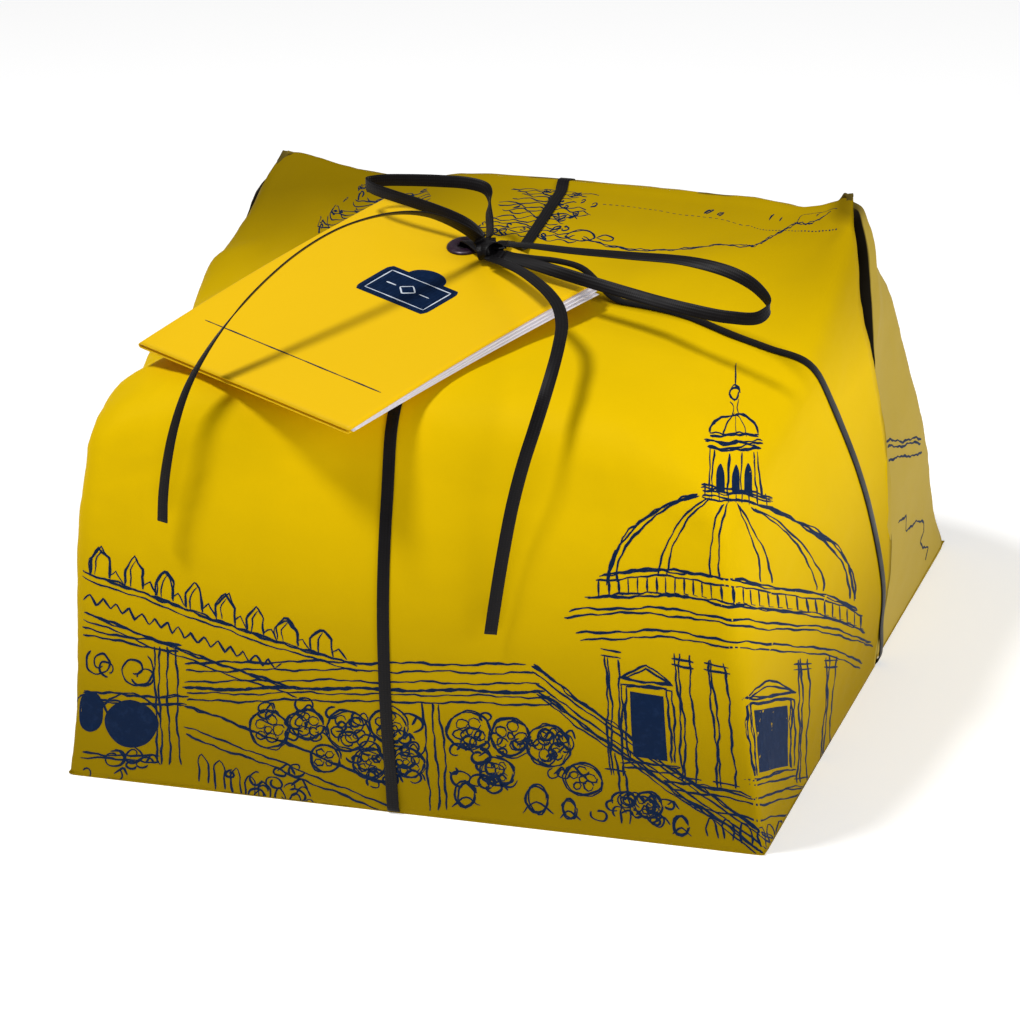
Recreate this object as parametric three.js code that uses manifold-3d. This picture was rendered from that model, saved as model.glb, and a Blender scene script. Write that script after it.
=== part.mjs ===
// A whole panettone, wrapped by hand in printed paper and tied both ways with a flat ribbon.
// Millimetres. +Z is up, -Y is the front of the parcel, +X is its right side.
// The origin is under the middle of the parcel, on the surface that it stands on.
import * as THREE from 'three';
import { mergeVertices } from 'three/addons/utils/BufferGeometryUtils.js';
import Module from 'manifold-3d';

const wasm = await Module();
wasm.setup();

// ---------------------------------------------------------------- driving dimensions
const BASE_SIDE = 230;
const HALF = BASE_SIDE / 2;
const GAP = 0.3;

const PAPER_WALL = 1.4;
const BASE_FOLDS = 3.4;

const RIBBON_WIDTH = 4;
const RIBBON_THICKNESS = 0.8;
const RIBBON_LIFT = 1.15;
const BAND_X = -5;
const BAND_Z = 0.6;
const CROSSING_Z = 1.85;
const CHANNEL_WIDTH = 5;
const CHANNEL_DEPTH = 1.2;
const CROSSING_DEPTH = 2.6;

const KNOT_CENTRE = new THREE.Vector3(0.3, -17, 151.1);
const KNOT_SIZE = new THREE.Vector3(11, 9, 6);

const TAG_WIDTH = 95;
const TAG_LENGTH = 109;
const TAG_CORNER = new THREE.Vector3(-47, 19, 151.2);
const TAG_ACROSS = new THREE.Vector3(87, -43, -4.5).normalize();
const TAG_DOWN = new THREE.Vector3(-48, -98, -10.5).normalize();
const COVER_THICKNESS = 0.5;
const PAGE_THICKNESS = 0.25;
const LEAF_PITCH = 0.62;
const EYELET = { across: 45.5, down: 8.5, hole: 2.9, rim: 4.4, flange: 0.5 };

const CASE_RADIUS = 104;
const CASE_HEIGHT = 70;
const CASE_WALL = 0.8;
const BOARD_SIDE = 216;
const BOARD_THICKNESS = 2;

// ---------------------------------------------------------------- colours
const YELLOW = 0xd9b70c;
const TAG_YELLOW = 0xf7c600;
const RIBBON_BLACK = 0x1a1715;

function material(color, roughness, metalness = 0) {
  return new THREE.MeshStandardMaterial({ color, roughness, metalness });
}

function piece(name, geometry, finish) {
  const mesh = new THREE.Mesh(geometry, finish);
  mesh.name = name;
  return mesh;
}

const vector = ([x, y, z]) => new THREE.Vector3(x, y, z);

// ---------------------------------------------------------------- solids
function toManifold(geometry) {
  const bare = new THREE.BufferGeometry();
  bare.setAttribute('position', geometry.getAttribute('position'));
  if (geometry.index) bare.setIndex(geometry.index);
  const welded = mergeVertices(bare, 1e-4);
  return new wasm.Manifold(
    new wasm.Mesh({
      numProp: 3,
      vertProperties: new Float32Array(welded.getAttribute('position').array),
      triVerts: new Uint32Array(welded.index.array),
    })
  );
}

function fromManifold(solid) {
  const mesh = solid.getMesh();
  const geometry = new THREE.BufferGeometry();
  geometry.setAttribute('position', new THREE.BufferAttribute(new Float32Array(mesh.vertProperties), 3));
  geometry.setIndex(new THREE.BufferAttribute(new Uint32Array(mesh.triVerts), 1));
  const flat = geometry.toNonIndexed();
  flat.computeVertexNormals();
  return flat;
}

function subtract(body, cutters) {
  let solid = toManifold(body);
  for (const cutter of cutters) solid = solid.subtract(toManifold(cutter));
  return fromManifold(solid);
}

// ---------------------------------------------------------------- the wrapped form
// Each rib runs from the base edge to the back ridge, through seven stations: the base, three
// heights up the wall, the shoulder crease, half way over the top, and the ridge.
const SEAM_LEFT = [
  [-115, 19, 0], [-119, 24, 35], [-117, 30, 75], [-109, 37, 106], [-105, 42, 124], [-101, 50, 138], [-96, 58, 148.5],
];
const SEAM_RIGHT = [
  [115, 19, 0], [119.5, 21, 35], [117.5, 29, 75], [111, 36, 105], [107, 41, 121], [103, 50, 137], [99, 58, 148.5],
];
const FRONT_RIBS = [
  SEAM_LEFT,
  [[-115, -48, 0], [-116, -47, 35], [-114, -46, 72], [-109.5, -45, 100], [-106, -42, 114], [-97, 8, 132], [-84, 58, 146.5]],
  [[-115, -115, 0], [-111, -115, 35], [-106, -114, 72], [-101, -111, 103], [-98, -105, 118], [-80, -28, 134], [-64, 58, 145]],
  [[-88, -115, 0], [-86, -116, 35], [-83, -113, 72], [-80, -107, 103], [-78, -98, 124], [-62, -24, 137], [-49, 57.5, 144.5]],
  [[-58, -115, 0], [-57, -116.5, 35], [-56, -113, 72], [-54, -105, 104], [-52, -94, 128], [-44, -20, 137], [-34, 57.5, 144.5]],
  [[0, -115, 0], [0, -117, 35], [0, -114, 72], [0, -105, 104], [0, -92, 130.3], [1, -20, 137.3], [2, 57.5, 145]],
  [[58, -115, 0], [57, -117, 35], [57, -114, 72], [57, -106, 104], [58, -94, 128.6], [47, -20, 137.2], [36, 57.5, 145]],
  [[88, -115, 0], [87, -117, 35], [86, -115, 72], [86, -108, 102], [87, -98, 122], [68, -24, 135.5], [52, 57.5, 144.5]],
  [[115, -115, 0], [113, -116, 35], [110, -115, 72], [107, -111, 97], [104, -104, 110], [82, -26, 132], [66, 57.5, 145]],
  [[115, -48, 0], [118, -47, 35], [117, -46, 72], [113, -45, 100], [109, -42, 117], [96, 8, 133], [84, 58, 146.5]],
  SEAM_RIGHT,
];
const BACK_RIBS = [
  SEAM_RIGHT,
  [[115, 70, 0], [116, 66, 35], [113.5, 60, 72], [109, 57, 105], [105, 55, 123], [101.5, 57, 138], [97, 60, 147.5]],
  [[115, 115, 0], [112, 106, 34], [109, 90, 72], [105, 79, 106], [101, 71, 124], [97, 65, 138], [90, 60.5, 146.5]],
  [[78, 115, 0], [77, 115, 35], [75, 107, 72], [73, 97, 105], [70, 84, 125], [67, 71, 138], [64, 61, 145]],
  [[38, 115, 0], [38, 117, 35], [37, 112, 72], [36, 104, 105], [34, 90, 126], [33, 73, 138], [32, 61, 145]],
  [[0, 115, 0], [0, 117.5, 35], [0, 113, 72], [0, 105, 105], [1, 91, 126], [2, 74, 138], [2, 61, 145]],
  [[-38, 115, 0], [-38, 117, 35], [-37, 112, 72], [-36, 104, 105], [-34, 90, 126], [-32, 73, 138], [-30, 61, 144.5]],
  [[-78, 115, 0], [-77, 115, 35], [-75, 107, 72], [-73, 97, 105], [-70, 84, 125], [-66, 71, 138], [-62, 61, 145]],
  [[-115, 115, 0], [-112, 106, 34], [-109, 90, 72], [-105, 79, 106], [-101, 71, 124], [-96, 65, 138], [-88, 60.5, 146.5]],
  [[-115, 70, 0], [-116, 66, 35], [-113.5, 60, 72], [-109, 57, 105], [-105, 55, 124], [-100, 57, 139], [-94, 60, 147.5]],
  SEAM_LEFT,
];
const CORNER_RIBS = [2, 8];
const RIB_STEPS = 3;
const STATION_STEPS = 2;

// A smooth line across the ribs, broken at the two corner ribs so that the corners stay folded.
function acrossRibs(points, u) {
  const stops = [0, ...CORNER_RIBS, points.length - 1];
  const last = Math.max(1, stops.findIndex((stop) => u <= stop));
  const from = stops[last - 1];
  const to = stops[last];
  const stretch = new THREE.CatmullRomCurve3(points.slice(from, to + 1), false, 'centripetal');
  return stretch.getPoint((u - from) / (to - from));
}

function panelPoint(ribs, u, v) {
  const stations = ribs[0].map((_, row) => acrossRibs(ribs.map((rib) => vector(rib[row])), u));
  const rib = new THREE.CatmullRomCurve3(stations, false, 'centripetal');
  return rib.getPoint(v / (stations.length - 1));
}

// The closed rings round the parcel, from the base up to the ridge.
function parcelRings() {
  const spans = (FRONT_RIBS.length - 1) * RIB_STEPS;
  const levels = (FRONT_RIBS[0].length - 1) * STATION_STEPS;
  const rings = [];
  for (let level = 0; level <= levels; level += 1) {
    const ring = [];
    for (const ribs of [FRONT_RIBS, BACK_RIBS]) {
      for (let step = 0; step < spans; step += 1) {
        ring.push(panelPoint(ribs, step / RIB_STEPS, level / STATION_STEPS));
      }
    }
    rings.push(ring);
  }
  return rings;
}

// One closed body: the wall between the rings, a flat floor, and a strip closing the ridge.
function ringBody(rings) {
  const count = rings[0].length;
  const top = (rings.length - 1) * count;
  const positions = rings.flat().flatMap((p) => [p.x, p.y, p.z]);
  const floorCentre = positions.length / 3;
  positions.push(0, 0, rings[0][0].z);
  const triangles = [];
  for (let level = 0; level < rings.length - 1; level += 1) {
    for (let i = 0; i < count; i += 1) {
      const next = (i + 1) % count;
      const a = level * count + i;
      const b = level * count + next;
      triangles.push(a, b, b + count, a, b + count, a + count);
    }
  }
  for (let i = 0; i < count; i += 1) triangles.push(floorCentre, (i + 1) % count, i);
  for (let i = 0; i < count / 2; i += 1) {
    const back = (count - i) % count;
    const nextBack = count - i - 1;
    if (nextBack > i + 1) triangles.push(top + i, top + i + 1, top + nextBack);
    if (back !== i) triangles.push(top + i, top + nextBack, top + back);
  }
  const geometry = new THREE.BufferGeometry();
  geometry.setAttribute('position', new THREE.Float32BufferAttribute(positions, 3));
  geometry.setIndex(triangles);
  return geometry;
}

const outerRings = parcelRings();
const parcelBody = ringBody(outerRings);
const parcelHeart = new THREE.Vector3(0, 8, 62);

function hollowRings() {
  return outerRings.map((ring, level) =>
    ring.map((point) => {
      const inward = parcelHeart.clone().sub(point).setLength(PAPER_WALL);
      const moved = point.clone().add(inward);
      if (level === 0) moved.z = BASE_FOLDS;
      return moved;
    })
  );
}

// The ribbon sinks between the folds of the underside, one band over the other where they cross.
const SIDE_BAND = { leftY: -12, rightY: 20 };
const sideBandAngle = Math.atan2(SIDE_BAND.rightY - SIDE_BAND.leftY, BASE_SIDE);

function sideBandY(x) {
  return (SIDE_BAND.leftY + SIDE_BAND.rightY) / 2 + Math.tan(sideBandAngle) * x;
}

function ribbonChannels() {
  const long = BASE_SIDE + 20;
  const slot = (length, width, depth) =>
    new THREE.BoxGeometry(length, width, depth + 1).translate(0, 0, (depth - 1) / 2);
  return [
    slot(CHANNEL_WIDTH, long, CHANNEL_DEPTH).translate(BAND_X, 0, 0),
    slot(long, CHANNEL_WIDTH, CHANNEL_DEPTH).rotateZ(sideBandAngle).translate(0, sideBandY(0), 0),
    slot(24, CHANNEL_WIDTH, CROSSING_DEPTH).rotateZ(sideBandAngle).translate(BAND_X, sideBandY(BAND_X), 0),
  ];
}

// The slit between the front sheet's edge and the tucked back flap, up each side below the ear.
function gussetSlit(side) {
  const low = new THREE.Vector3(side * 117, 30.5, 78);
  const high = new THREE.Vector3(side * 105, 47, 130);
  const up = high.clone().sub(low);
  const slit = new THREE.BoxGeometry(16, 1.2, up.length());
  const turn = new THREE.Quaternion().setFromUnitVectors(new THREE.Vector3(0, 0, 1), up.clone().normalize());
  const middle = low.add(high).multiplyScalar(0.5);
  return slit.applyQuaternion(turn).translate(middle.x, middle.y, middle.z);
}

function wrapPaper() {
  const cutters = [ringBody(hollowRings()), ...ribbonChannels(), gussetSlit(1), gussetSlit(-1)];
  return piece('wrap_paper', subtract(parcelBody, cutters), material(YELLOW, 0.55));
}

// ---------------------------------------------------------------- what is inside
const BOARD_Z = BASE_FOLDS + GAP;
const BAG_Z = BOARD_Z + BOARD_THICKNESS + GAP;
const BAG_FILM = 0.4;
const CASE_Z = BAG_Z + BAG_FILM + GAP;
const LOAF_Z = CASE_Z + CASE_WALL + GAP;

function lathe(profile, segments = 48) {
  const points = profile.map(([radius, z]) => new THREE.Vector2(radius, z));
  return new THREE.LatheGeometry(points, segments).rotateX(Math.PI / 2);
}

// The domed top of the loaf, which rises out of its case.
const DOME = [[102, 84], [101, 95], [96, 108], [86, 117], [68, 124], [44, 128.5], [20, 130.5]];

function loaf() {
  const inCase = CASE_RADIUS - CASE_WALL - GAP;
  const profile = [[0, LOAF_Z], [inCase, LOAF_Z], [inCase, CASE_Z + CASE_HEIGHT], ...DOME, [0, 131]];
  return piece('panettone_loaf', lathe(profile), material(0x9a5a26, 0.85));
}

function bakingCase() {
  const rim = CASE_Z + CASE_HEIGHT;
  const inner = CASE_RADIUS - CASE_WALL;
  const profile = [
    [0, CASE_Z], [CASE_RADIUS, CASE_Z], [CASE_RADIUS, rim],
    [inner, rim], [inner, CASE_Z + CASE_WALL], [0, CASE_Z + CASE_WALL],
  ];
  return piece('baking_case', lathe(profile), material(0x6d4326, 0.7));
}

// The food bag follows case and dome, and is gathered into a short open neck on top.
const NECK = { radius: 4.6, bottom: 132.4, top: 137.2 };

function filmBag() {
  const clear = 1.1;
  const outer = CASE_RADIUS + GAP + BAG_FILM;
  const outside = [
    [0, BAG_Z], [outer, BAG_Z], [outer, CASE_Z + CASE_HEIGHT + 2],
    ...DOME.map(([radius, z]) => [radius + clear, z + clear]),
    [NECK.radius, NECK.bottom], [NECK.radius, NECK.top],
  ];
  const inside = outside.slice(2).reverse().map(([radius, z]) => [radius - BAG_FILM, z - BAG_FILM]);
  inside[0][1] = NECK.top;
  const profile = [...outside, ...inside, [outer - BAG_FILM, BAG_Z + BAG_FILM], [0, BAG_Z + BAG_FILM]];
  return piece('film_bag', lathe(profile), material(0xe8ecec, 0.15));
}

function bagTie() {
  const ring = new THREE.TorusGeometry(NECK.radius + GAP + 0.7, 0.7, 8, 24);
  ring.translate(0, 0, (NECK.bottom + NECK.top) / 2 + 0.4);
  return piece('bag_tie', ring, material(0xc8a23a, 0.4, 0.6));
}

function baseBoard() {
  const board = new THREE.BoxGeometry(BOARD_SIDE, BOARD_SIDE, BOARD_THICKNESS);
  board.translate(0, 0, BOARD_Z + BOARD_THICKNESS / 2);
  return piece('base_board', board, material(0xb89b6a, 0.9));
}

// ---------------------------------------------------------------- ribbon bands
const parcelMesh = new THREE.Mesh(parcelBody, new THREE.MeshBasicMaterial({ side: THREE.DoubleSide }));
parcelMesh.updateMatrixWorld(true);

// Where a ribbon lies on the parcel: the point found by pushing inward from far outside.
function settle(target, direction) {
  const inward = vector(direction).normalize();
  const start = vector(target).addScaledVector(inward, -300);
  const hit = new THREE.Raycaster(start, inward).intersectObject(parcelMesh)[0];
  return hit.point.addScaledVector(inward, -RIBBON_LIFT);
}

// A flat strip of ribbon along a route, its width along the given direction.
function ribbonStrip(points, across) {
  const positions = [];
  points.forEach((point, i) => {
    const before = points[Math.max(i - 1, 0)];
    const after = points[Math.min(i + 1, points.length - 1)];
    const along = after.clone().sub(before).normalize();
    const normal = along.clone().cross(across).normalize();
    const width = normal.clone().cross(along).normalize();
    for (const [w, t] of [[-1, -1], [1, -1], [1, 1], [-1, 1]]) {
      const corner = point.clone();
      corner.addScaledVector(width, (w * RIBBON_WIDTH) / 2);
      corner.addScaledVector(normal, (t * RIBBON_THICKNESS) / 2);
      positions.push(corner.x, corner.y, corner.z);
    }
  });
  const triangles = [];
  for (let i = 0; i < points.length - 1; i += 1) {
    for (let k = 0; k < 4; k += 1) {
      const a = 4 * i + k;
      const b = 4 * i + ((k + 1) % 4);
      triangles.push(a, b, b + 4, a, b + 4, a + 4);
    }
  }
  const end = 4 * (points.length - 1);
  triangles.push(0, 2, 1, 0, 3, 2, end, end + 1, end + 2, end, end + 2, end + 3);
  const geometry = new THREE.BufferGeometry();
  geometry.setAttribute('position', new THREE.Float32BufferAttribute(positions, 3));
  geometry.setIndex(triangles);
  return outwards(geometry);
}

// Turns a closed body right side out if its volume comes out negative.
function outwards(geometry) {
  const flat = geometry.toNonIndexed();
  const position = flat.getAttribute('position');
  const [a, b, c] = [new THREE.Vector3(), new THREE.Vector3(), new THREE.Vector3()];
  let volume = 0;
  for (let i = 0; i < position.count; i += 3) {
    a.fromBufferAttribute(position, i);
    b.fromBufferAttribute(position, i + 1);
    c.fromBufferAttribute(position, i + 2);
    volume += a.dot(b.cross(c));
  }
  if (volume < 0) {
    const index = Array.from(geometry.index.array);
    for (let i = 0; i < index.length; i += 3) [index[i], index[i + 1]] = [index[i + 1], index[i]];
    geometry.setIndex(index);
    return geometry.toNonIndexed();
  }
  return flat;
}

// Round a lower edge of the parcel, from the wall into the channel under it.
function baseTurn(edge, outward, flare = 0) {
  return [[1.0 + flare, 6], [1.0 + flare / 2, 2.4], [0.75, 1.2], [0.1, 0.62], [-2, BAND_Z], [-8, BAND_Z]].map(
    ([out, z]) => edge.clone().addScaledVector(outward, out).setZ(z)
  );
}

function frontBackBand() {
  const FRONT = new THREE.Vector3(0, -1, 0);
  const BACK = new THREE.Vector3(0, 1, 0);
  const overBack = [12, 24, 36, 48].map((y) => settle([BAND_X + 7.5, y, 140], [0, 0, -1]));
  const ridge = [
    settle([1.5, 56, 142], [0, 0.25, -1]), settle([1.2, 61, 142], [0, -0.35, -1]),
    settle([1.0, 64, 138], [0, -1, -0.7]),
  ];
  const overShoulder = [141, 137.5, 134, 131].map((z) => settle([1, 70, z], [0, -1, -0.5]));
  const downBack = [128, 123, 118, 108, 98, 84, 70, 54, 38, 24, 12].map((z) =>
    settle([BAND_X + (z * 6) / 128, 100, z], [0, -1, -0.3])
  );
  const upFront = [12, 26, 40, 54, 68, 82, 94, 104, 112, 119].map((z) => settle([BAND_X, -100, z], [0, 1, -0.15]));
  const crest = [[-92, 124, 0.7, -0.4], [-90, 128, 0.7, -0.7], [-86, 130, 0.4, -1], [-78, 132, 0.15, -1]].map(
    ([y, z, dy, dz]) => settle([BAND_X, y, z], [0, dy, dz])
  );
  const overTop = [-66, -54, -42, -32, -23].map((y) => settle([BAND_X - 2, y, 136], [0, 0, -1]));
  const eyelet = tagPoint(EYELET.across, EYELET.down, 0);
  const throughEyelet = [
    [eyelet.x, eyelet.y - 5.5, 140.2], [eyelet.x, eyelet.y - 1.6, 141.4], [eyelet.x, eyelet.y - 0.3, 143.6],
    [eyelet.x, eyelet.y, 148],
  ].map(vector);
  const points = [
    vector([2.5, -12.2, 150.8]), vector([2.5, -6.5, 150.1]), vector([2.6, -1, 148]), vector([2.6, 5, 142.8]),
    ...overBack, ...ridge, ...overShoulder, ...downBack,
    ...baseTurn(new THREE.Vector3(BAND_X, HALF, 0), BACK),
    vector([BAND_X, 60, BAND_Z]), vector([BAND_X, -60, BAND_Z]),
    ...baseTurn(new THREE.Vector3(BAND_X, -HALF, 0), FRONT).reverse(),
    ...upFront, ...crest, ...overTop, ...throughEyelet,
  ];
  return piece('ribbon_front_back_band', ribbonStrip(points, new THREE.Vector3(1, 0, 0)), material(RIBBON_BLACK, 0.5));
}

function sideBand() {
  const overRight = [
    [42, -17.5], [52, -18.5], [62, -20], [76, -21.5], [84, -22.5], [92, -23.5], [98, -24], [101, -24],
  ].map(([x, y]) => settle([x, y, 136], [0, 0, -1]));
  const downRight = [
    [104, -24, 124, -0.5], [107, -22, 117, -1], [110, -18, 108, -3], [113, -12, 96, -6], [115, -7, 84, -9],
    [116, -2, 70, -9], [117, 3, 56, -9], [117, 8, 42, -9], [116, 13, 28, -9], [115, 17, 14, -9],
  ].map(([x, y, z, slope]) => settle([x, y, z], [slope, 0, -1]));
  const upLeft = [
    [-12.5, 14], [-14.5, 28], [-17.5, 42], [-21, 56], [-25, 70], [-29, 84], [-32.5, 96], [-35.5, 106], [-36.8, 111],
  ].map(([y, z]) => settle([-110, y, z], [1, 0, -0.12]));
  const overLeft = [
    [-107, 115, 1], [-105, 118, 0.9], [-103, 121, 0.8], [-100, 124, 0.6], [-96, 127, 0.4], [-88, 130, 0.1], [-81, 132, 0], [-74, 134, 0], [-58, 136, 0],
    [-42, 137, 0], [-28, 138, 0],
  ].map(([x, z, slope]) => settle([x, -37 + 0.3 * (x + 107), z], [slope, 0, -1]));
  const right = new THREE.Vector3(HALF, SIDE_BAND.rightY, 0);
  const left = new THREE.Vector3(-HALF, SIDE_BAND.leftY, 0);
  const crossing = [10.5, 5.5, -5.5, -10.5].map((offset, i) => {
    const x = BAND_X + offset;
    return new THREE.Vector3(x, sideBandY(x), i === 1 || i === 2 ? CROSSING_Z : BAND_Z);
  });
  const points = [
    vector([6.1, -15.6, 149.6]), vector([14, -15.8, 149.2]), vector([24, -16.2, 149.1]), vector([32, -16.4, 147.6]),
    ...overRight, ...downRight,
    ...baseTurn(right, new THREE.Vector3(Math.cos(sideBandAngle), Math.sin(sideBandAngle), 0), 1.2),
    ...crossing,
    ...baseTurn(left, new THREE.Vector3(-Math.cos(sideBandAngle), -Math.sin(sideBandAngle), 0), 0.5).reverse(),
    ...upLeft, ...overLeft,
    vector([-20.5, -10.5, 140.4]), vector([-15.5, -9, 141]),
  ];
  return piece('ribbon_side_band', ribbonStrip(points, new THREE.Vector3(0, 1, 0)), material(RIBBON_BLACK, 0.5));
}

function knot() {
  const lump = new THREE.IcosahedronGeometry(0.5, 2);
  const position = lump.getAttribute('position');
  for (let i = 0; i < position.count; i += 1) {
    const side = new THREE.Vector3().fromBufferAttribute(position, i);
    const square = side.toArray().map((value) => Math.sign(value) * Math.pow(Math.abs(value) * 2, 0.7) * 0.5);
    position.setXYZ(i, ...square);
  }
  lump.scale(KNOT_SIZE.x, KNOT_SIZE.y, KNOT_SIZE.z).translate(...KNOT_CENTRE.toArray());
  return piece('ribbon_knot', lump, material(RIBBON_BLACK, 0.5));
}

// ---------------------------------------------------------------- loops and free ends
// A ribbon's route, which keeps the flat of the ribbon facing away from one direction.
class RibbonRoute extends THREE.CatmullRomCurve3 {
  constructor(points, across) {
    super(points.map(vector), false, 'centripetal');
    this.across = vector(across).normalize();
  }

  computeFrenetFrames(segments) {
    const frames = { tangents: [], normals: [], binormals: [] };
    for (let i = 0; i <= segments; i += 1) {
      const tangent = this.getTangentAt(i / segments);
      const binormal = tangent.clone().cross(this.across).normalize();
      frames.tangents.push(tangent);
      frames.binormals.push(binormal);
      frames.normals.push(binormal.clone().cross(tangent).normalize());
    }
    return frames;
  }
}

function ribbonSection() {
  const w = RIBBON_WIDTH / 2;
  const t = RIBBON_THICKNESS / 2;
  const outline = [[w, t / 2], [w - t / 2, t], [t / 2 - w, t], [-w, t / 2], [-w, -t / 2], [t / 2 - w, -t], [w - t / 2, -t], [w, -t / 2]];
  return new THREE.Shape(outline.map(([x, y]) => new THREE.Vector2(x, y)));
}

function freeRibbon(name, route, across, steps) {
  const extrudePath = new RibbonRoute(route, across);
  const geometry = new THREE.ExtrudeGeometry(ribbonSection(), { steps, extrudePath, curveSegments: 1 });
  return piece(name, outwards(mergeVertices(positionsOnly(geometry), 1e-4)), material(RIBBON_BLACK, 0.5));
}

function positionsOnly(geometry) {
  const bare = new THREE.BufferGeometry();
  bare.setAttribute('position', geometry.getAttribute('position'));
  return bare;
}

const LOOP_RIGHT = [
  [6.2, -14.6, 152.6], [14, -16.5, 153.6], [30, -21.5, 155.2], [50, -25.5, 156.8], [70, -28, 157.6],
  [86, -33, 156.8], [96, -39.5, 154.8], [100.5, -44.5, 151.8], [98, -47.3, 149.2], [88, -46, 147.8],
  [72, -41.5, 147.6], [54, -36.5, 148.6], [36, -31, 149.8], [18, -24.5, 150.8], [6.2, -19.4, 151],
];
const LOOP_LEFT = [
  [-3, -12.2, 152.6], [-8, -8.5, 155], [-15, -7, 157.6], [-26, -4, 159.4], [-37, -0.5, 160.4], [-45, 3.5, 160.6],
  [-48.5, 7.6, 160.6], [-44, 10.4, 160.8], [-36, 11.8, 161], [-26, 13.6, 160.8], [-16, 14.6, 160.4],
  [-10, 13.4, 159.6], [-7.4, 10, 158.4], [-6, 4, 156.6], [-3, -4, 154.6], [-0.4, -12.2, 153.4],
];
const TAIL_LEFT = [
  [-2.4, -17, 154.5], [-5, -19.5, 158], [-9, -24.5, 162.8], [-13.5, -31, 167.4], [-19, -39, 170.8],
  [-26, -48.5, 172.4], [-34, -59.5, 171.8], [-42.5, -71, 168], [-50.5, -81.5, 161.6], [-57.5, -90.5, 153.8],
  [-63.5, -98, 145], [-68.5, -104, 135], [-72, -108.5, 123.5], [-74.4, -111.4, 111.5], [-75.8, -113, 101],
  [-76.4, -113.8, 92.4],
];
const TAIL_FRONT = [
  [3.2, -22.3, 150.6], [10, -28.2, 151.8], [17.5, -35.5, 152.9], [25.5, -44.5, 153.6], [32.5, -53, 153.6],
  [38, -61, 152.8], [42, -70.5, 151.2], [44.6, -82, 149.4], [46, -92.5, 146.4], [45.8, -101, 140.6],
  [43.6, -105.8, 131.4], [40.8, -108.8, 121.6], [37.6, -111.6, 108.4], [34.8, -114.2, 93.2],
  [32.5, -116.3, 79], [30.7, -117.6, 67.4],
];

// ---------------------------------------------------------------- the booklet tag
const TAG_NORMAL = TAG_ACROSS.clone().cross(TAG_DOWN).negate().normalize();
const TAG_DOWN_SQUARE = TAG_ACROSS.clone().cross(TAG_NORMAL).normalize();

function tagPoint(across, down, height) {
  return TAG_CORNER.clone()
    .addScaledVector(TAG_ACROSS, across)
    .addScaledVector(TAG_DOWN_SQUARE, down)
    .addScaledVector(TAG_NORMAL, height);
}

// Places a geometry made with X across the tag from its spine, -Y down it and Z out of its face.
function ontoTag(geometry) {
  const basis = new THREE.Matrix4().makeBasis(TAG_ACROSS, TAG_DOWN_SQUARE.clone().negate(), TAG_NORMAL);
  return geometry.applyMatrix4(basis.setPosition(TAG_CORNER));
}

// A leaf's height below the tag's face, which falls away a little towards the open edge.
function leafHeight(leaf, x) {
  const fan = 0.28 * Math.pow(x / TAG_WIDTH, 1.6);
  return -LEAF_PITCH * leaf * (1 + fan);
}

function leafOutline(leaf, thickness, inset) {
  const stops = [0, 0.25, 0.5, 0.75, 1].map((part) => inset + part * (TAG_WIDTH - 2 * inset));
  const upper = stops.map((x) => [x, leafHeight(leaf, x) + thickness / 2]);
  const lower = stops.map((x) => [x, leafHeight(leaf, x) - thickness / 2]).reverse();
  return { upper, lower };
}

// A sheet of the booklet: an outline across it, run down its length, with the hole for the eyelet.
function leafSolid(outline, inset, holeRadius) {
  const shape = new THREE.Shape(outline.map(([x, z]) => new THREE.Vector2(x, z)));
  const sheet = new THREE.ExtrudeGeometry(shape, { depth: TAG_LENGTH - 2 * inset, bevelEnabled: false });
  sheet.rotateX(Math.PI / 2).translate(0, -inset, 0);
  const hole = new THREE.CylinderGeometry(holeRadius, holeRadius, 20, 20).rotateX(Math.PI / 2);
  hole.translate(EYELET.across, -EYELET.down, -2);
  return ontoTag(subtract(sheet, [hole]));
}

const LAST_LEAF = 4;

function tagCover() {
  const front = leafOutline(0, COVER_THICKNESS, 0);
  const back = leafOutline(LAST_LEAF, COVER_THICKNESS, 0);
  const outer = -COVER_THICKNESS;
  const outline = [
    ...front.upper, ...front.lower, ...back.upper, ...back.lower,
    [outer, leafHeight(LAST_LEAF, 0) - COVER_THICKNESS / 4], [outer, COVER_THICKNESS / 4],
  ];
  return piece('tag_cover', leafSolid(outline, 0, EYELET.hole + 1.2), material(TAG_YELLOW, 0.45));
}

function tagPage(leaf) {
  const { upper, lower } = leafOutline(leaf, PAGE_THICKNESS, 0.8);
  return piece(`tag_page_${leaf}`, leafSolid([...upper, ...lower], 0.8, EYELET.hole + 1.2), material(0xe6e2e8, 0.7));
}

// The eyelet's barrel and face, and the washer that it is spread over under the tag.
function eyelet() {
  const { hole, rim, flange } = EYELET;
  const face = COVER_THICKNESS / 2 + GAP;
  const end = leafHeight(LAST_LEAF, EYELET.across) - 1.6;
  const profile = [
    [hole, end], [hole + 0.6, end], [hole + 0.6, face], [rim + 1.6, face],
    [rim + 1.2, face + flange], [hole, face + flange], [hole, end],
  ];
  const body = lathe(profile, 24).translate(EYELET.across, -EYELET.down, 0);
  return piece('tag_eyelet', ontoTag(body), material(0x3a2530, 0.35, 0.5));
}

function eyeletWasher() {
  const { hole, rim } = EYELET;
  const top = leafHeight(LAST_LEAF, EYELET.across) - COVER_THICKNESS / 2 - GAP - 0.1;
  const bottom = top - 0.5;
  const bore = hole + 0.6 + GAP;
  const profile = [[bore, bottom], [rim + 1, bottom], [rim + 1, top], [bore, top], [bore, bottom]];
  const body = lathe(profile, 24).translate(EYELET.across, -EYELET.down, 0);
  return piece('tag_eyelet_washer', ontoTag(body), material(0x3a2530, 0.35, 0.5));
}

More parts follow.
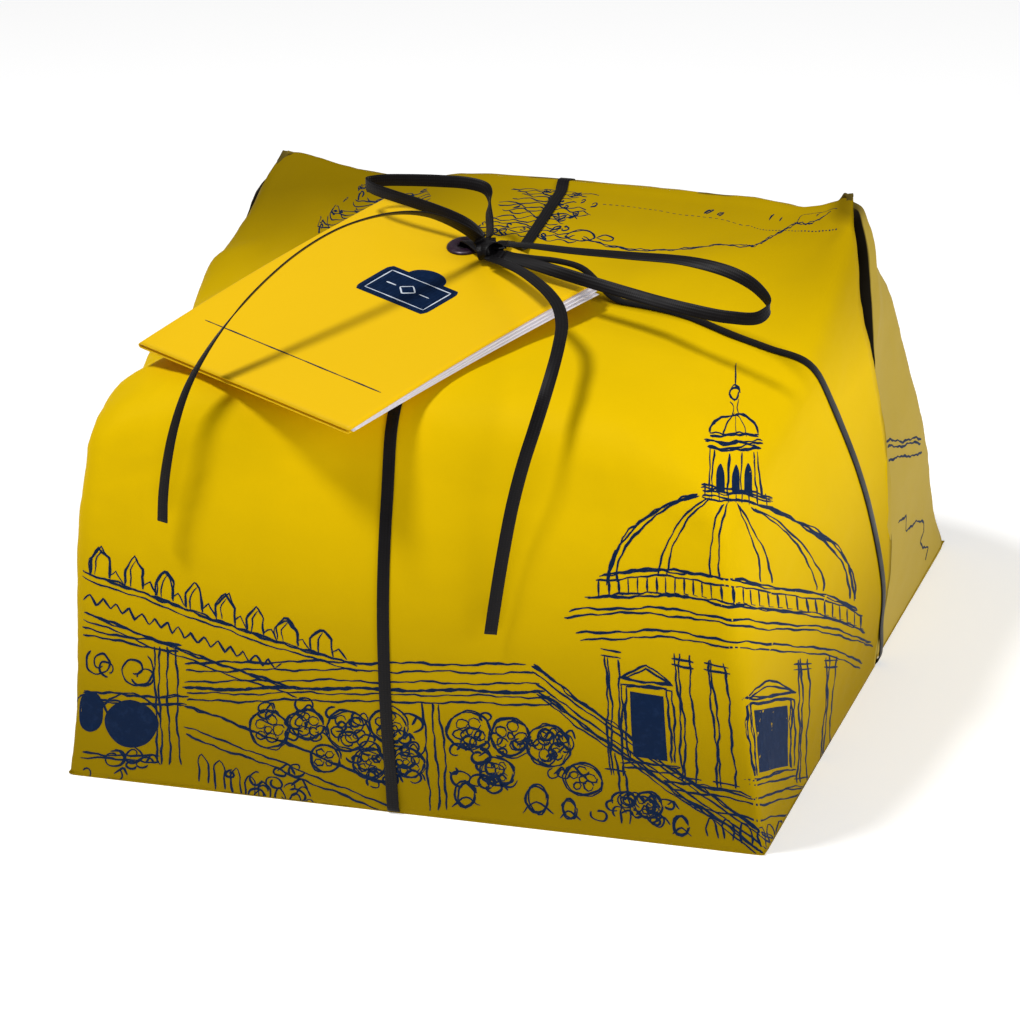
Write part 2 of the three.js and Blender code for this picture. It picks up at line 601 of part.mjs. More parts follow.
// ---------------------------------------------------------------- the whole parcel
const panettone = new THREE.Group();
panettone.name = 'wrapped_panettone';
panettone.add(wrapPaper(), baseBoard(), loaf(), bakingCase(), filmBag(), bagTie());
panettone.add(frontBackBand(), sideBand(), knot());
panettone.add(
  freeRibbon('bow_loop_right', LOOP_RIGHT, [0.3, 0.95, 0], 44),
  freeRibbon('bow_loop_left', LOOP_LEFT, [0, 0.2, 1], 40),
  freeRibbon('ribbon_tail_left', TAIL_LEFT, [0.79, -0.61, 0], 36),
  freeRibbon('ribbon_tail_front', TAIL_FRONT, [0.9, 0.43, 0], 30)
);
panettone.add(tagCover(), tagPage(1), tagPage(2), tagPage(3), eyelet(), eyeletWasher());

export default panettone;
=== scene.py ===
"""Wrapped panettone: a loaf in hand-folded printed paper, cross-tied with flat ribbon, with a tag.

Metres. +Z is up, -Y is the front of the parcel and +X its right side. Routes and ribs are written
in millimetres, as a maker would measure them, and scaled by MM.
"""
import math
import random

import bpy
import numpy as np
from bpy.props import BoolProperty, FloatProperty, FloatVectorProperty, IntProperty, PointerProperty
from mathutils import Matrix, Vector, noise
from mathutils.bvhtree import BVHTree


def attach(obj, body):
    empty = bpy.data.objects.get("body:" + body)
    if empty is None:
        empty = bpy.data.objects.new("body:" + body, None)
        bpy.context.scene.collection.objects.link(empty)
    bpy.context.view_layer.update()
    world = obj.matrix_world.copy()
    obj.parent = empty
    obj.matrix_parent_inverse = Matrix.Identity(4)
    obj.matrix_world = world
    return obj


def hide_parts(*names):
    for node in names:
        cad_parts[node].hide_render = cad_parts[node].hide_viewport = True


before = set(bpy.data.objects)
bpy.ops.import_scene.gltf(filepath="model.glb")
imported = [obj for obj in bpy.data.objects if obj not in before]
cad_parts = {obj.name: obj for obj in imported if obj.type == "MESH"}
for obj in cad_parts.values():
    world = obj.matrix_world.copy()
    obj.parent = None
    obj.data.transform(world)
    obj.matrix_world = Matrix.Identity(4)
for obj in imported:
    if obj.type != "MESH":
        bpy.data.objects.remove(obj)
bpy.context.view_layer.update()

bl_info = {
    "name": "Wrapped panettone",
    "version": (1, 0, 0),
    "blender": (4, 5, 0),
    "location": "3D View > Sidebar > Panettone",
    "description": "Builds a hand-wrapped panettone with its ribbon, bow and booklet tag",
    "category": "Add Mesh",
}

MM = 0.001


# ------------------------------------------------------------------ settings
class WrapSettings(bpy.types.PropertyGroup):
    """The sheet of printed paper."""
    colour: FloatVectorProperty(
        name="Paper colour", description="Yellow of the printed side", subtype="COLOR",
        size=3, min=0, max=1, default=(0.74, 0.48, 0.0))
    flap_colour: FloatVectorProperty(
        name="Back flap colour", description="Paler yellow of the back of the sheet", subtype="COLOR",
        size=3, min=0, max=1, default=(0.40, 0.285, 0.040))
    ink: FloatVectorProperty(
        name="Ink", description="Blue of the printed drawing", subtype="COLOR",
        size=3, min=0, max=1, default=(0.0022, 0.0125, 0.045))
    thickness: FloatProperty(
        name="Paper thickness", description="Thickness of one sheet", unit="LENGTH",
        min=0.0001, max=0.001, default=0.28 * MM)
    wrinkle: FloatProperty(
        name="Wrinkles", description="Height of the larger undulations", unit="LENGTH",
        min=0, max=0.005, default=0.9 * MM)
    crumple: FloatProperty(
        name="Crumple", description="Height of the fine dents", unit="LENGTH",
        min=0, max=0.002, default=0.25 * MM)
    line: FloatProperty(
        name="Pen width", description="Width of a printed line", unit="LENGTH",
        min=0.0001, max=0.002, default=0.78 * MM)


class RibbonSettings(bpy.types.PropertyGroup):
    """The flat ribbon of the tie."""
    colour: FloatVectorProperty(
        name="Ribbon colour", description="Brown black of the ribbon", subtype="COLOR",
        size=3, min=0, max=1, default=(0.0030, 0.0024, 0.0028))
    width: FloatProperty(
        name="Width", description="Width of the ribbon", unit="LENGTH", min=0.001, max=0.02, default=4 * MM)
    thickness: FloatProperty(
        name="Thickness", description="Thickness of the ribbon", unit="LENGTH",
        min=0.0001, max=0.003, default=0.42 * MM)


class TagSettings(bpy.types.PropertyGroup):
    """The booklet tag."""
    colour: FloatVectorProperty(
        name="Cover colour", description="Yellow of the cover", subtype="COLOR",
        size=3, min=0, max=1, default=(0.77, 0.47, 0.0))
    page_colour: FloatVectorProperty(
        name="Page colour", description="White of the inner leaves", subtype="COLOR",
        size=3, min=0, max=1, default=(0.72, 0.69, 0.74))
    pages: IntProperty(name="Leaves", description="Inner leaves", min=1, max=3, default=3)


class StageSettings(bpy.types.PropertyGroup):
    """Camera, floor and lights."""
    azimuth: FloatProperty(
        name="Azimuth", description="Camera angle round the parcel", subtype="ANGLE",
        default=math.radians(19.265))
    elevation: FloatProperty(
        name="Elevation", description="Camera angle above the floor", subtype="ANGLE",
        default=math.radians(24.739))
    roll: FloatProperty(
        name="Roll", description="Camera roll", subtype="ANGLE", default=math.radians(-2.717))
    distance: FloatProperty(
        name="Distance", description="Camera distance", unit="LENGTH", default=1.6988)
    lens: FloatProperty(name="Lens", description="Focal length", subtype="DISTANCE_CAMERA", default=183.35)
    floor: BoolProperty(name="Floor", description="Lay the pale floor", default=True)


# ------------------------------------------------------------------ small tools
def link(obj):
    bpy.context.scene.collection.objects.link(obj)
    return obj


def mesh_object(name, vertices, faces, material=None, smooth=True):
    mesh = bpy.data.meshes.new(name)
    mesh.from_pydata([tuple(v) for v in vertices], [], [tuple(f) for f in faces])
    mesh.update()
    if smooth:
        mesh.shade_smooth()
    if material:
        mesh.materials.append(material)
    return link(bpy.data.objects.new(name, mesh))


def select(*objects):
    """Selects only these, with the first one active."""
    bpy.ops.object.select_all(action="DESELECT")
    for obj in objects:
        obj.select_set(True)
    bpy.context.view_layer.objects.active = objects[0]


def thicken(piece, label, thickness, offset):
    body = piece.modifiers.new(label, "SOLIDIFY")
    body.thickness, body.offset = thickness, offset


def finish(piece, node):
    """Puts a piece on the body and, where it has one, in place of its CAD node."""
    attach(piece, "root")
    if node:
        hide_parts(node)


def ring_faces(rings, sides, closed=False):
    """Faces between rings of vertices, where closed also joins the last ring to the first."""
    faces = []
    for i in range(rings if closed else rings - 1):
        j = (i + 1) % rings
        for k in range(sides):
            n = (k + 1) % sides
            faces.append((i * sides + k, i * sides + n, j * sides + n, j * sides + k))
    return faces


def patch_faces(rows, columns, first=0):
    """Faces of an open patch of rows by columns of vertices, counted from first."""
    starts = [first + row * columns + column for row in range(rows - 1) for column in range(columns - 1)]
    return [(a, a + columns, a + columns + 1, a + 1) for a in starts]


def upright(x, y, z):
    return x * MM, y * MM, z * MM


def turn_points(profile, sides, place=upright, shape=None):
    """Rings of points turned from (radius, height) in mm, each moved by shape(radius, height, angle)."""
    vertices = []
    for radius, height in profile:
        for k in range(sides):
            a = 2 * math.pi * k / sides
            r, z = shape(radius, height, a) if shape else (radius, height)
            vertices.append(place(r * math.cos(a), r * math.sin(a), z))
    return vertices


def turned(name, profile, material, sides, shape=None, closed=True, place=upright):
    """A turned body; closed joins the end of its profile to the start."""
    vertices = turn_points(profile, sides, place, shape)
    return mesh_object(name, vertices, ring_faces(len(profile), sides, closed), material)


def run_lengths(points):
    """The distance along a line of points to each of them."""
    return np.concatenate([[0], np.cumsum(np.linalg.norm(np.diff(points, axis=0), axis=1))])


def in_metres(points):
    return [np.array(point) * MM for point in points]


def spline(points, t):
    """Positions at t (0 to len-1) on a centripetal Catmull-Rom line through points."""
    points = np.asarray(points, float)
    last = len(points) - 1
    before, after = 2 * points[0] - points[1], 2 * points[-1] - points[-2]
    padded = np.vstack([before, points, after])
    t = np.asarray(t, float)
    out = np.empty((len(t), points.shape[1]))
    spans = np.clip(np.floor(t).astype(int), 0, last - 1)
    for i in range(last):
        here = spans == i
        if not here.any():
            continue
        p0, p1, p2, p3 = padded[i:i + 4]
        d0, d1, d2 = (max(np.linalg.norm(b - a) ** 0.5, 1e-4) for a, b in ((p0, p1), (p1, p2), (p2, p3)))
        m1 = ((p1 - p0) / d0 - (p2 - p0) / (d0 + d1) + (p2 - p1) / d1) * d1
        m2 = ((p2 - p1) / d1 - (p3 - p1) / (d1 + d2) + (p3 - p2) / d2) * d1
        s = (t[here] - i)[:, None]
        out[here] = (
            p1 + m1 * s + (-3 * p1 + 3 * p2 - 2 * m1 - m2) * s ** 2 + (2 * p1 - 2 * p2 + m1 + m2) * s ** 3
        )
    return out


def ease(x, low, high):
    """Smooth step from 0 at low to 1 at high."""
    x = np.clip((np.asarray(x, float) - low) / (high - low), 0, 1)
    return x * x * (3 - 2 * x)


def unit(v):
    v = np.asarray(v, float)
    return v / np.maximum(np.linalg.norm(v, axis=-1, keepdims=True), 1e-12)


# ------------------------------------------------------------------ shader groups
def new_group(name, inputs, outputs):
    group = bpy.data.node_groups.new(name, "ShaderNodeTree")
    for label, kind, default in inputs:
        socket = group.interface.new_socket(label, in_out="INPUT", socket_type=kind)
        socket.default_value = default
    for label, kind in outputs:
        group.interface.new_socket(label, in_out="OUTPUT", socket_type=kind)
    return group, group.nodes.new("NodeGroupInput"), group.nodes.new("NodeGroupOutput")


def object_place(tree):
    return tree.nodes.new("ShaderNodeTexCoord").outputs["Object"]


def noise_node(tree, place, scale, detail, roughness):
    node = tree.nodes.new("ShaderNodeTexNoise")
    tree.links.new(place, node.inputs["Vector"])
    for label, number in (("Scale", scale), ("Detail", detail), ("Roughness", roughness)):
        node.inputs[label].default_value = number
    return node.outputs["Fac"]


def math_node(tree, operation, a, b):
    node = tree.nodes.new("ShaderNodeMath")
    node.operation = operation
    tree.links.new(a, node.inputs[0])
    tree.links.new(b, node.inputs[1])
    return node.outputs[0]


def map_range(tree, value, low, high, to_low, to_high):
    node = tree.nodes.new("ShaderNodeMapRange")
    tree.links.new(value, node.inputs["Value"])
    for label, number in (("From Min", low), ("From Max", high), ("To Min", to_low), ("To Max", to_high)):
        node.inputs[label].default_value = number
    return node.outputs["Result"]


def mix_colour(tree, factor, a, b):
    node = tree.nodes.new("ShaderNodeMix")
    node.data_type = "RGBA"
    for socket, value in ((node.inputs[0], factor), (node.inputs[6], a), (node.inputs[7], b)):
        if hasattr(value, "is_output"):
            tree.links.new(value, socket)
        else:
            socket.default_value = value
    return node.outputs[2]


def paper_fibre_group():
    """Colour mottle, roughness and the fibre relief of paper and card."""
    if "Paper fibre" in bpy.data.node_groups:
        return bpy.data.node_groups["Paper fibre"]
    group, start, end = new_group(
        "Paper fibre",
        [("Colour", "NodeSocketColor", (0.8, 0.8, 0.8, 1)), ("Shade", "NodeSocketColor", (0.5, 0.5, 0.5, 1)),
         ("Mottle", "NodeSocketFloat", 0.3), ("Roughness", "NodeSocketFloat", 0.5)],
        [("Colour", "NodeSocketColor"), ("Roughness", "NodeSocketFloat"), ("Height", "NodeSocketFloat")])
    place = object_place(group)
    stretch = group.nodes.new("ShaderNodeMapping")
    stretch.inputs["Scale"].default_value = (1.0, 1.0, 0.35)
    group.links.new(place, stretch.inputs["Vector"])
    cloud = noise_node(group, place, 16, 5, 0.6)
    speck = noise_node(group, place, 900, 3, 0.65)
    fibre = noise_node(group, stretch.outputs["Vector"], 1500, 4, 0.7)
    amount = math_node(group, "MULTIPLY", map_range(group, cloud, 0.35, 0.75, 0, 1), start.outputs["Mottle"])
    soft = mix_colour(group, amount, start.outputs["Colour"], start.outputs["Shade"])
    flecks = map_range(group, speck, 0.3, 0.8, 0.0, 0.12)
    group.links.new(mix_colour(group, flecks, soft, start.outputs["Shade"]), end.inputs["Colour"])
    uneven = map_range(group, cloud, 0.3, 0.7, -0.05, 0.06)
    group.links.new(math_node(group, "ADD", start.outputs["Roughness"], uneven), end.inputs["Roughness"])
    group.links.new(fibre, end.inputs["Height"])
    return group


def new_material(name, roughness=0.5, specular=0.5):
    material = bpy.data.materials.new(name)
    material.use_nodes = True
    shader = material.node_tree.nodes["Principled BSDF"]
    shader.inputs["Roughness"].default_value = roughness
    shader.inputs["Specular IOR Level"].default_value = specular
    return material, material.node_tree, shader


def bump(tree, shader, height, strength, distance):
    node = tree.nodes.new("ShaderNodeBump")
    node.inputs["Strength"].default_value = strength
    node.inputs["Distance"].default_value = distance
    tree.links.new(height, node.inputs["Height"])
    tree.links.new(node.outputs["Normal"], shader.inputs["Normal"])


def scaled(colour, factor):
    return tuple(c * factor for c in colour)


def painted_shade_mask(tree):
    """Painted shade on the paper's ground: darker towards the ridge, at the right ear, and along the foot."""
    apart = tree.nodes.new("ShaderNodeSeparateXYZ")
    tree.links.new(object_place(tree), apart.inputs["Vector"])
    x, y, z = apart.outputs

    def smooth(value, low, high, to_low, to_high):
        result = map_range(tree, value, low * MM, high * MM, to_low, to_high)
        result.node.interpolation_type = "SMOOTHSTEP"
        return result

    back = math_node(tree, "MULTIPLY", smooth(y, -55, 62, 0, 1), smooth(z, 95, 130, 0, 1))
    back = math_node(tree, "MULTIPLY", back, smooth(x, -110, 30, 1.1, 0.66))
    foot = smooth(z, 0, 112, 0.86, 0.04)
    ear = math_node(tree, "MULTIPLY", smooth(x, 78, 104, 0, 1.3), smooth(y, 36, 58, 0, 1))
    ear = math_node(tree, "MULTIPLY", ear, smooth(z, 118, 138, 0, 1))
    return math_node(tree, "MAXIMUM", math_node(tree, "MAXIMUM", back, ear), foot)


def paper_material(name, colour, mottle, roughness, specular, relief, shade=0.84, painted_shade_colour=None, shaded=None):
    """Paper or card that mottles from a colour towards shade times it, or towards a colour of its own.

    Its next-to-last argument is the colour of the painted shade on the ground, and its last the colour of the
    painted shade deep in the folds and at the ears' tips.
    """
    if name in bpy.data.materials:
        return bpy.data.materials[name]
    material, tree, shader = new_material(name, roughness, specular)
    fibre = tree.nodes.new("ShaderNodeGroup")
    fibre.node_tree = paper_fibre_group()
    fibre.inputs["Colour"].default_value = (*colour, 1)
    shade = shade if isinstance(shade, tuple) else scaled(colour, shade)
    fibre.inputs["Shade"].default_value = (*shade, 1)
    fibre.inputs["Mottle"].default_value = mottle
    fibre.inputs["Roughness"].default_value = roughness
    ground = fibre.outputs["Colour"]
    # The printed side's painted shade, darker by place towards the ridge, the right ear and the foot.
    if painted_shade_colour:
        ground = mix_colour(tree, painted_shade_mask(tree), ground, (*painted_shade_colour, 1))
    # The painted shade deep in the side folds and at the ears' tips.
    if shaded:
        depth = tree.nodes.new("ShaderNodeAttribute")
        depth.attribute_name = "painted_fold_shade"
        ground = mix_colour(tree, depth.outputs["Fac"], ground, (*shaded, 1))
    tree.links.new(ground, shader.inputs["Base Color"])
    tree.links.new(fibre.outputs["Roughness"], shader.inputs["Roughness"])
    bump(tree, shader, fibre.outputs["Height"], relief, 0.06 * MM)
    return material


def ink_material():
    """Printed ink: a little uneven where the paper shows through."""
    if "Printing ink" in bpy.data.materials:
        return bpy.data.materials["Printing ink"]
    colour = bpy.context.scene.panettone_wrap.ink
    material, tree, shader = new_material("Printing ink", 0.6, 0.06)
    worn = noise_node(tree, object_place(tree), 420, 4, 0.7)
    thin = map_range(tree, worn, 0.5, 0.75, 0.0, 0.35)
    pale = tuple(min(1.0, c * 2.2 + 0.01) for c in colour)
    tree.links.new(mix_colour(tree, thin, (*colour, 1), (*pale, 1)), shader.inputs["Base Color"])
    return material


def ribbon_material():
    """Close woven ribbon: fine ribs across it, threads along it, worn paler in places, a little sheen."""
    if "Ribbon weave" in bpy.data.materials:
        return bpy.data.materials["Ribbon weave"]
    colour = bpy.context.scene.panettone_ribbon.colour
    material, tree, shader = new_material("Ribbon weave", 0.5, 0.14)
    shader.inputs["Sheen Weight"].default_value = 0.01
    shader.inputs["Sheen Roughness"].default_value = 0.4
    place = tree.nodes.new("ShaderNodeUVMap")
    place.uv_map = "Ribbon"
    waves = []
    for direction, scale, distortion in (("X", 420, 0.6), ("Y", 330, 0.4)):
        wave = tree.nodes.new("ShaderNodeTexWave")
        wave.wave_type, wave.bands_direction = "BANDS", direction
        wave.inputs["Scale"].default_value = scale
        wave.inputs["Distortion"].default_value = distortion
        tree.links.new(place.outputs["UV"], wave.inputs["Vector"])
        waves.append(wave.outputs["Fac"])
    weave = math_node(tree, "MULTIPLY", *waves)
    dust = noise_node(tree, place.outputs["UV"], 60, 4, 0.6)
    light = tuple(c * 2.2 + 0.002 for c in colour)
    tone = mix_colour(tree, map_range(tree, weave, 0, 1, 0, 0.8), (*colour, 1), (*light, 1))
    worn = map_range(tree, dust, 0.45, 0.75, 0, 0.5)
    tree.links.new(mix_colour(tree, worn, tone, (*light, 1)), shader.inputs["Base Color"])
    tree.links.new(map_range(tree, dust, 0.3, 0.7, 0.38, 0.56), shader.inputs["Roughness"])
    bump(tree, shader, weave, 0.6, 0.08 * MM)
    return material


# ------------------------------------------------------------------ the sheet of paper
# Each rib runs up the parcel through seven stations: the base, three heights up the wall, the
# shoulder crease, half way over the top, and the ridge at the back.
SEAM_LEFT = (
    (-115, 19, 0), (-119, 24, 35), (-117, 30, 75), (-109, 37, 106),
    (-105, 42, 124), (-101, 50, 138), (-96, 58, 148.5))
SEAM_RIGHT = (
    (115, 19, 0), (119.5, 21, 35), (117.5, 29, 75), (111, 36, 105),
    (107, 41, 121), (103, 50, 137), (99, 58, 148.5))
FRONT_RIBS = (
    SEAM_LEFT,
    ((-115, -48, 0), (-116, -47, 35), (-114, -46, 72), (-109.5, -45, 100),
     (-106, -42, 114), (-97, 8, 132), (-84, 58, 146.5)),
    ((-115, -115, 0), (-111, -115, 35), (-106, -114, 72), (-101, -111, 103),
     (-98, -105, 118), (-80, -28, 134), (-64, 58, 145)),
    ((-88, -115, 0), (-86, -116, 35), (-83, -113, 72), (-80, -107, 103),
     (-78, -98, 124), (-62, -24, 137), (-49, 57.5, 144.5)),
    ((-58, -115, 0), (-57, -116.5, 35), (-56, -113, 72), (-54, -105, 104),
     (-52, -94, 128), (-44, -20, 137), (-34, 57.5, 144.5)),
    ((0, -115, 0), (0, -117, 35), (0, -114, 72), (0, -105, 104),
     (0, -92, 130.3), (1, -20, 137.3), (2, 57.5, 145)),
    ((58, -115, 0), (57, -117, 35), (57, -114, 72), (57, -106, 104),
     (58, -94, 128.6), (47, -20, 137.2), (36, 57.5, 145)),
    ((88, -115, 0), (87, -117, 35), (86, -115, 72), (86, -108, 102),
     (87, -98, 122), (68, -24, 135.5), (52, 57.5, 144.5)),
    ((115, -115, 0), (113, -116, 35), (110, -115, 72), (107, -111, 97),
     (104, -104, 110), (82, -26, 132), (66, 57.5, 145)),
    ((115, -48, 0), (118, -47, 35), (117, -46, 72), (113, -45, 100),
     (109, -42, 117), (96, 8, 133), (84, 58, 146.5)),
    SEAM_RIGHT,
)
BACK_RIBS = (
    SEAM_RIGHT,
    ((115, 70, 0), (116, 66, 35), (113.5, 60, 72), (109, 57, 105),
     (105, 55, 123), (101.5, 57, 138), (97, 60, 147.5)),
    ((115, 115, 0), (112, 106, 34), (109, 90, 72), (105, 79, 106),
     (101, 71, 124), (97, 65, 138), (90, 60.5, 146.5)),
    ((78, 115, 0), (77, 115, 35), (75, 107, 72), (73, 97, 105),
     (70, 84, 125), (67, 71, 138), (64, 61, 145)),
    ((38, 115, 0), (38, 117, 35), (37, 112, 72), (36, 104, 105),
     (34, 90, 126), (33, 73, 138), (32, 61, 145)),
    ((0, 115, 0), (0, 117.5, 35), (0, 113, 72), (0, 105, 105),
     (1, 91, 126), (2, 74, 138), (2, 61, 145)),
    ((-38, 115, 0), (-38, 117, 35), (-37, 112, 72), (-36, 104, 105),
     (-34, 90, 126), (-32, 73, 138), (-30, 61, 144.5)),
    ((-78, 115, 0), (-77, 115, 35), (-75, 107, 72), (-73, 97, 105),
     (-70, 84, 125), (-66, 71, 138), (-62, 61, 145)),
    ((-115, 115, 0), (-112, 106, 34), (-109, 90, 72), (-105, 79, 106),
     (-101, 71, 124), (-96, 65, 138), (-88, 60.5, 146.5)),
    ((-115, 70, 0), (-116, 66, 35), (-113.5, 60, 72), (-109, 57, 105),
     (-105, 55, 124), (-100, 57, 139), (-94, 60, 147.5)),
    SEAM_LEFT,
)
# Which ribs run up the corners, and how many spans a rib has between its stations.
CORNER_RIBS = (2, 8)
STATIONS = 6
# Where the front's ribs lie across the flat sheet, and about how far it is up the back panel, in mm.
RIB_PLACES = (-249, -182, -115, -88, -58, 0, 58, 88, 115, 182, 249)
BACK_LENGTH = 160

# How finely the sheet is divided: up it, across each panel, and across the three parts of a side fold.
ROWS_PER_STATION = 18
FRONT_PER_RIB = 16
BACK_PER_RIB = 10
GUSSET_NEAR, GUSSET_BACK, GUSSET_FAR = 5, 3, 6

# Rounded corners: how many columns they reach to each side, and how many times they are averaged.
CORNER_REACH, CORNER_PASSES = 26, 46
# In mm: how far the left shoulder is pushed along x, y and z, how far the right rear corner bows out,
# and the dips of the ridge, each as its depth, its x and its half width.
SHOULDER_PUSH = (-4.2, -1.6, 1.0)
REAR_BOW = 4.5
RIDGE_DIPS = ((3.8, 84, 15.0), (3.4, -58, 20.0), (-2.6, 100, 5.0), (-0.8, -96, 8.0))
# The side folds, in mm: how far the edges of the two panels part forward and back, how far the rear
# one stands out at the right and at the left, how deep the fold is at its foot, what it gains at its
# middle and again above, and how far it laps under the front.
PART_FRONT, PART_BACK, PART_RIGHT, PART_LEFT = 4.2, 9.5, 3.4, 5.6
FOLD_FOOT, FOLD_MIDDLE, FOLD_TOP, FOLD_LAP = 0.6, 13, 7, 8
# Where the flap's edge lies between the panels: stations up the sheet, and parts of the way to the back.
FLAP_EDGE = (0, 2, 2.6, 3.4, 4.2, 5.4, 6), (0.3, 0.3, 0.3, 0.42, 0.55, 0.62, 0.6)
# Unevenness: how many waves of each kind a metre has.
BROAD_WAVES, FINE_DENTS = (17.0, 38.0), (150.0, 330.0)


def panel_grid(ribs, per_rib):
    """Points of one panel, as rows up the parcel by columns round it."""
    ribs = np.asarray(ribs, float) * MM
    stops = (0, *CORNER_RIBS, len(ribs) - 1)
    stations = []
    for row in range(ribs.shape[1]):
        pieces = []
        for first, last in zip(stops[:-1], stops[1:]):
            steps = (last - first) * per_rib
            t = np.linspace(0, last - first, steps + 1)
            stretch = spline(ribs[first:last + 1, row], t)
            pieces.append(stretch if last == stops[-1] else stretch[:-1])
        stations.append(np.vstack(pieces))
    stations = np.array(stations)
    rows = np.linspace(0, STATIONS, STATIONS * ROWS_PER_STATION + 1)
    return np.stack([spline(stations[:, c], rows) for c in range(stations.shape[1])], axis=1)


def soften(grid, column, strength):
    """Rounds the fold at one column, more where strength is higher, by averaging along each row."""
    low, high = max(column - CORNER_REACH, 1), min(column + CORNER_REACH, grid.shape[1] - 1)
    away = np.abs(np.arange(low, high) - column) / CORNER_REACH
    for _ in range(CORNER_PASSES):
        middle = (grid[:, low - 1:high - 1] + grid[:, low + 1:high + 1]) / 2
        weight = (strength[:, None] * (1 - away[None, :]) ** 1.2)[..., None]
        grid[:, low:high] += (middle - grid[:, low:high]) * np.clip(weight, 0, 1)


class PaperSheet:
    """The sheet folded round the parcel: one closed ring of columns, and rows from base to ridge."""

    def __init__(self):
        front = panel_grid(FRONT_RIBS, FRONT_PER_RIB)
        back = panel_grid(BACK_RIBS, BACK_PER_RIB)
        rows = np.linspace(0, STATIONS, front.shape[0])
        low = 0.006 + 0.03 * ease(rows, 0, 1) + 0.14 * ease(rows, 1, 2.6)
        high = ease(rows, 3.3, 4.6)
        for rib, rounding in zip(CORNER_RIBS, (0.36, 0.8)):
            soften(front, rib * FRONT_PER_RIB, low + rounding * high)
            soften(back, rib * BACK_PER_RIB, low + 0.6 * high)
        self.shape_shoulder(front, rows)
        self.shape_ridge(front, rows)
        self.shape_ridge(back, rows)
        self.shape_rear(back, rows)
        self.rows = rows
        self.front_columns = front.shape[1]
        self.tuck(front, back, rows)
        self.shade = []
        ring = [front, self.gusset(front[:, -1], back[:, 0], rows, 1), back,
                self.gusset(back[:, -1], front[:, 0], rows, -1)]
        self.starts = np.cumsum([0] + [part.shape[1] for part in ring])
        self.grid = np.concatenate(ring, axis=1)
        # Painted shade for the folds and the ears' tips.
        self.depth = self.painted_fold_shade()
        self.crease()
        self.normals = self.find_normals()

    def shape_shoulder(self, front, rows):
        """The left front shoulder is pushed out to a crisp corner."""
        corner = CORNER_RIBS[0] * FRONT_PER_RIB
        near = np.exp(-((np.arange(front.shape[1]) - corner) / 11.0) ** 2)
        tall = ease(rows, 0.9, 2.6) * (1 - ease(rows, 3.95, 4.5))
        bulge = tall[:, None] * near[None, :]
        for axis, push in enumerate(SHOULDER_PUSH):
            front[..., axis] += push * MM * bulge * (ease(rows, 3, 4)[:, None] if axis == 2 else 1)

    def shape_rear(self, back, rows):
        """The right rear corner is full, so its outline bows outward."""
        near = np.exp(-((np.arange(back.shape[1]) - CORNER_RIBS[0] * BACK_PER_RIB) / 9.0) ** 2)
        tall = ease(rows, 0.3, 2.2) * (1 - ease(rows, 5.1, 6.0))
        back[..., 0] += REAR_BOW * MM * tall[:, None] * near[None, :]

    def shape_ridge(self, panel, rows):
        """The ridge dips before each ear, and the ears rise to points."""
        x = panel[-1, :, 0] / MM
        dip = sum(deep * np.exp(-((x - middle) / wide) ** 2) for deep, middle, wide in RIDGE_DIPS)
        panel[..., 2] -= MM * dip[None, :] * ease(rows, 4.6, 6)[:, None]

    def tuck(self, front, back, rows):
        """Below, the back panel is tucked under the front one; above, the fold between them gapes."""
        sides = ((front[:, ::-1], back, 1), (front, back[:, ::-1], -1))
        gape = ease(rows, 2.1, 3.9) * (1 - ease(rows, 5.35, 5.98))
        for near, far, side in sides:
            over_near = ease(1 - np.arange(near.shape[1]) / (1.3 * FRONT_PER_RIB), 0, 1)[None, :]
            over_far = ease(1 - np.arange(far.shape[1]) / (1.9 * BACK_PER_RIB), 0, 1)[None, :]
            out, rear = np.array([side, 0, 0]), np.array([0, 1, 0])
            part = PART_RIGHT if side > 0 else PART_LEFT
            flare = (0.35 + 0.5 * ease(rows, 0.3, 1)) * MM
            sink = (0.35 + 1.3 * ease(rows, 0.3, 1) * (1 - gape)
                    - part * gape * (1 - 0.7 * ease(rows, 4.6, 5.5))) * MM
            near += (flare[:, None] * over_near)[..., None] * out
            near -= (PART_FRONT * MM * gape[:, None] * over_near)[..., None] * rear
            far -= (sink[:, None] * over_far)[..., None] * out
            far += (PART_BACK * MM * gape[:, None] * over_far)[..., None] * rear

    def gusset(self, from_edge, to_edge, rows, side):
        """The fold between two edges: flat under the front panel low down, pushed in higher up."""
        sunk = ease(rows, 3.9, 4.9)
        inward = unit(np.stack([-side + 0 * rows, 0 * rows, -0.75 * sunk], axis=1))
        forward = np.array([0, -1, 0])
        deep = FOLD_MIDDLE * ease(rows, 1.4, 3.2) + FOLD_TOP * ease(rows, 3.3, 4.3)
        deep = (FOLD_FOOT + deep * (1 - ease(rows, 5.2, 5.95))) * MM
        lap = FOLD_LAP * MM * (1 - ease(rows, 0.8, 2.6))
        near, far = (from_edge, to_edge) if side > 0 else (to_edge, from_edge)
        root = (near + far) / 2 + deep[:, None] * inward + lap[:, None] * forward
        open_ = ease(rows, 2.0, 2.9) * (1 - ease(rows, 5.5, 5.98))
        part = np.interp(rows, *FLAP_EDGE)[:, None]
        flat_edge = root * 0.7 + far * 0.3
        flap = near * (1 - part) + far * part
        flap = flat_edge * (1 - open_[:, None]) + flap * open_[:, None]
        # Painted shade for each column: dark inside the fold where it gapes, and on the left out to the far
        # edge.
        columns, shade = [], []
        for a, b, steps, dark in ((near, root, GUSSET_NEAR, 1), (root, flap, GUSSET_BACK, 1),
                                  (flap, far, GUSSET_FAR, 0 if side > 0 else 1)):
            for step in range(1, steps + 1):
                columns.append(a * (1 - step / steps) + b * (step / steps))
                shade.append(dark * open_)
        columns, shade = columns[:-1], shade[:-1]
        if side < 0:
            columns, shade = columns[::-1], shade[::-1]
        self.shade.append((open_, shade, side))
        return np.stack(columns, axis=1)

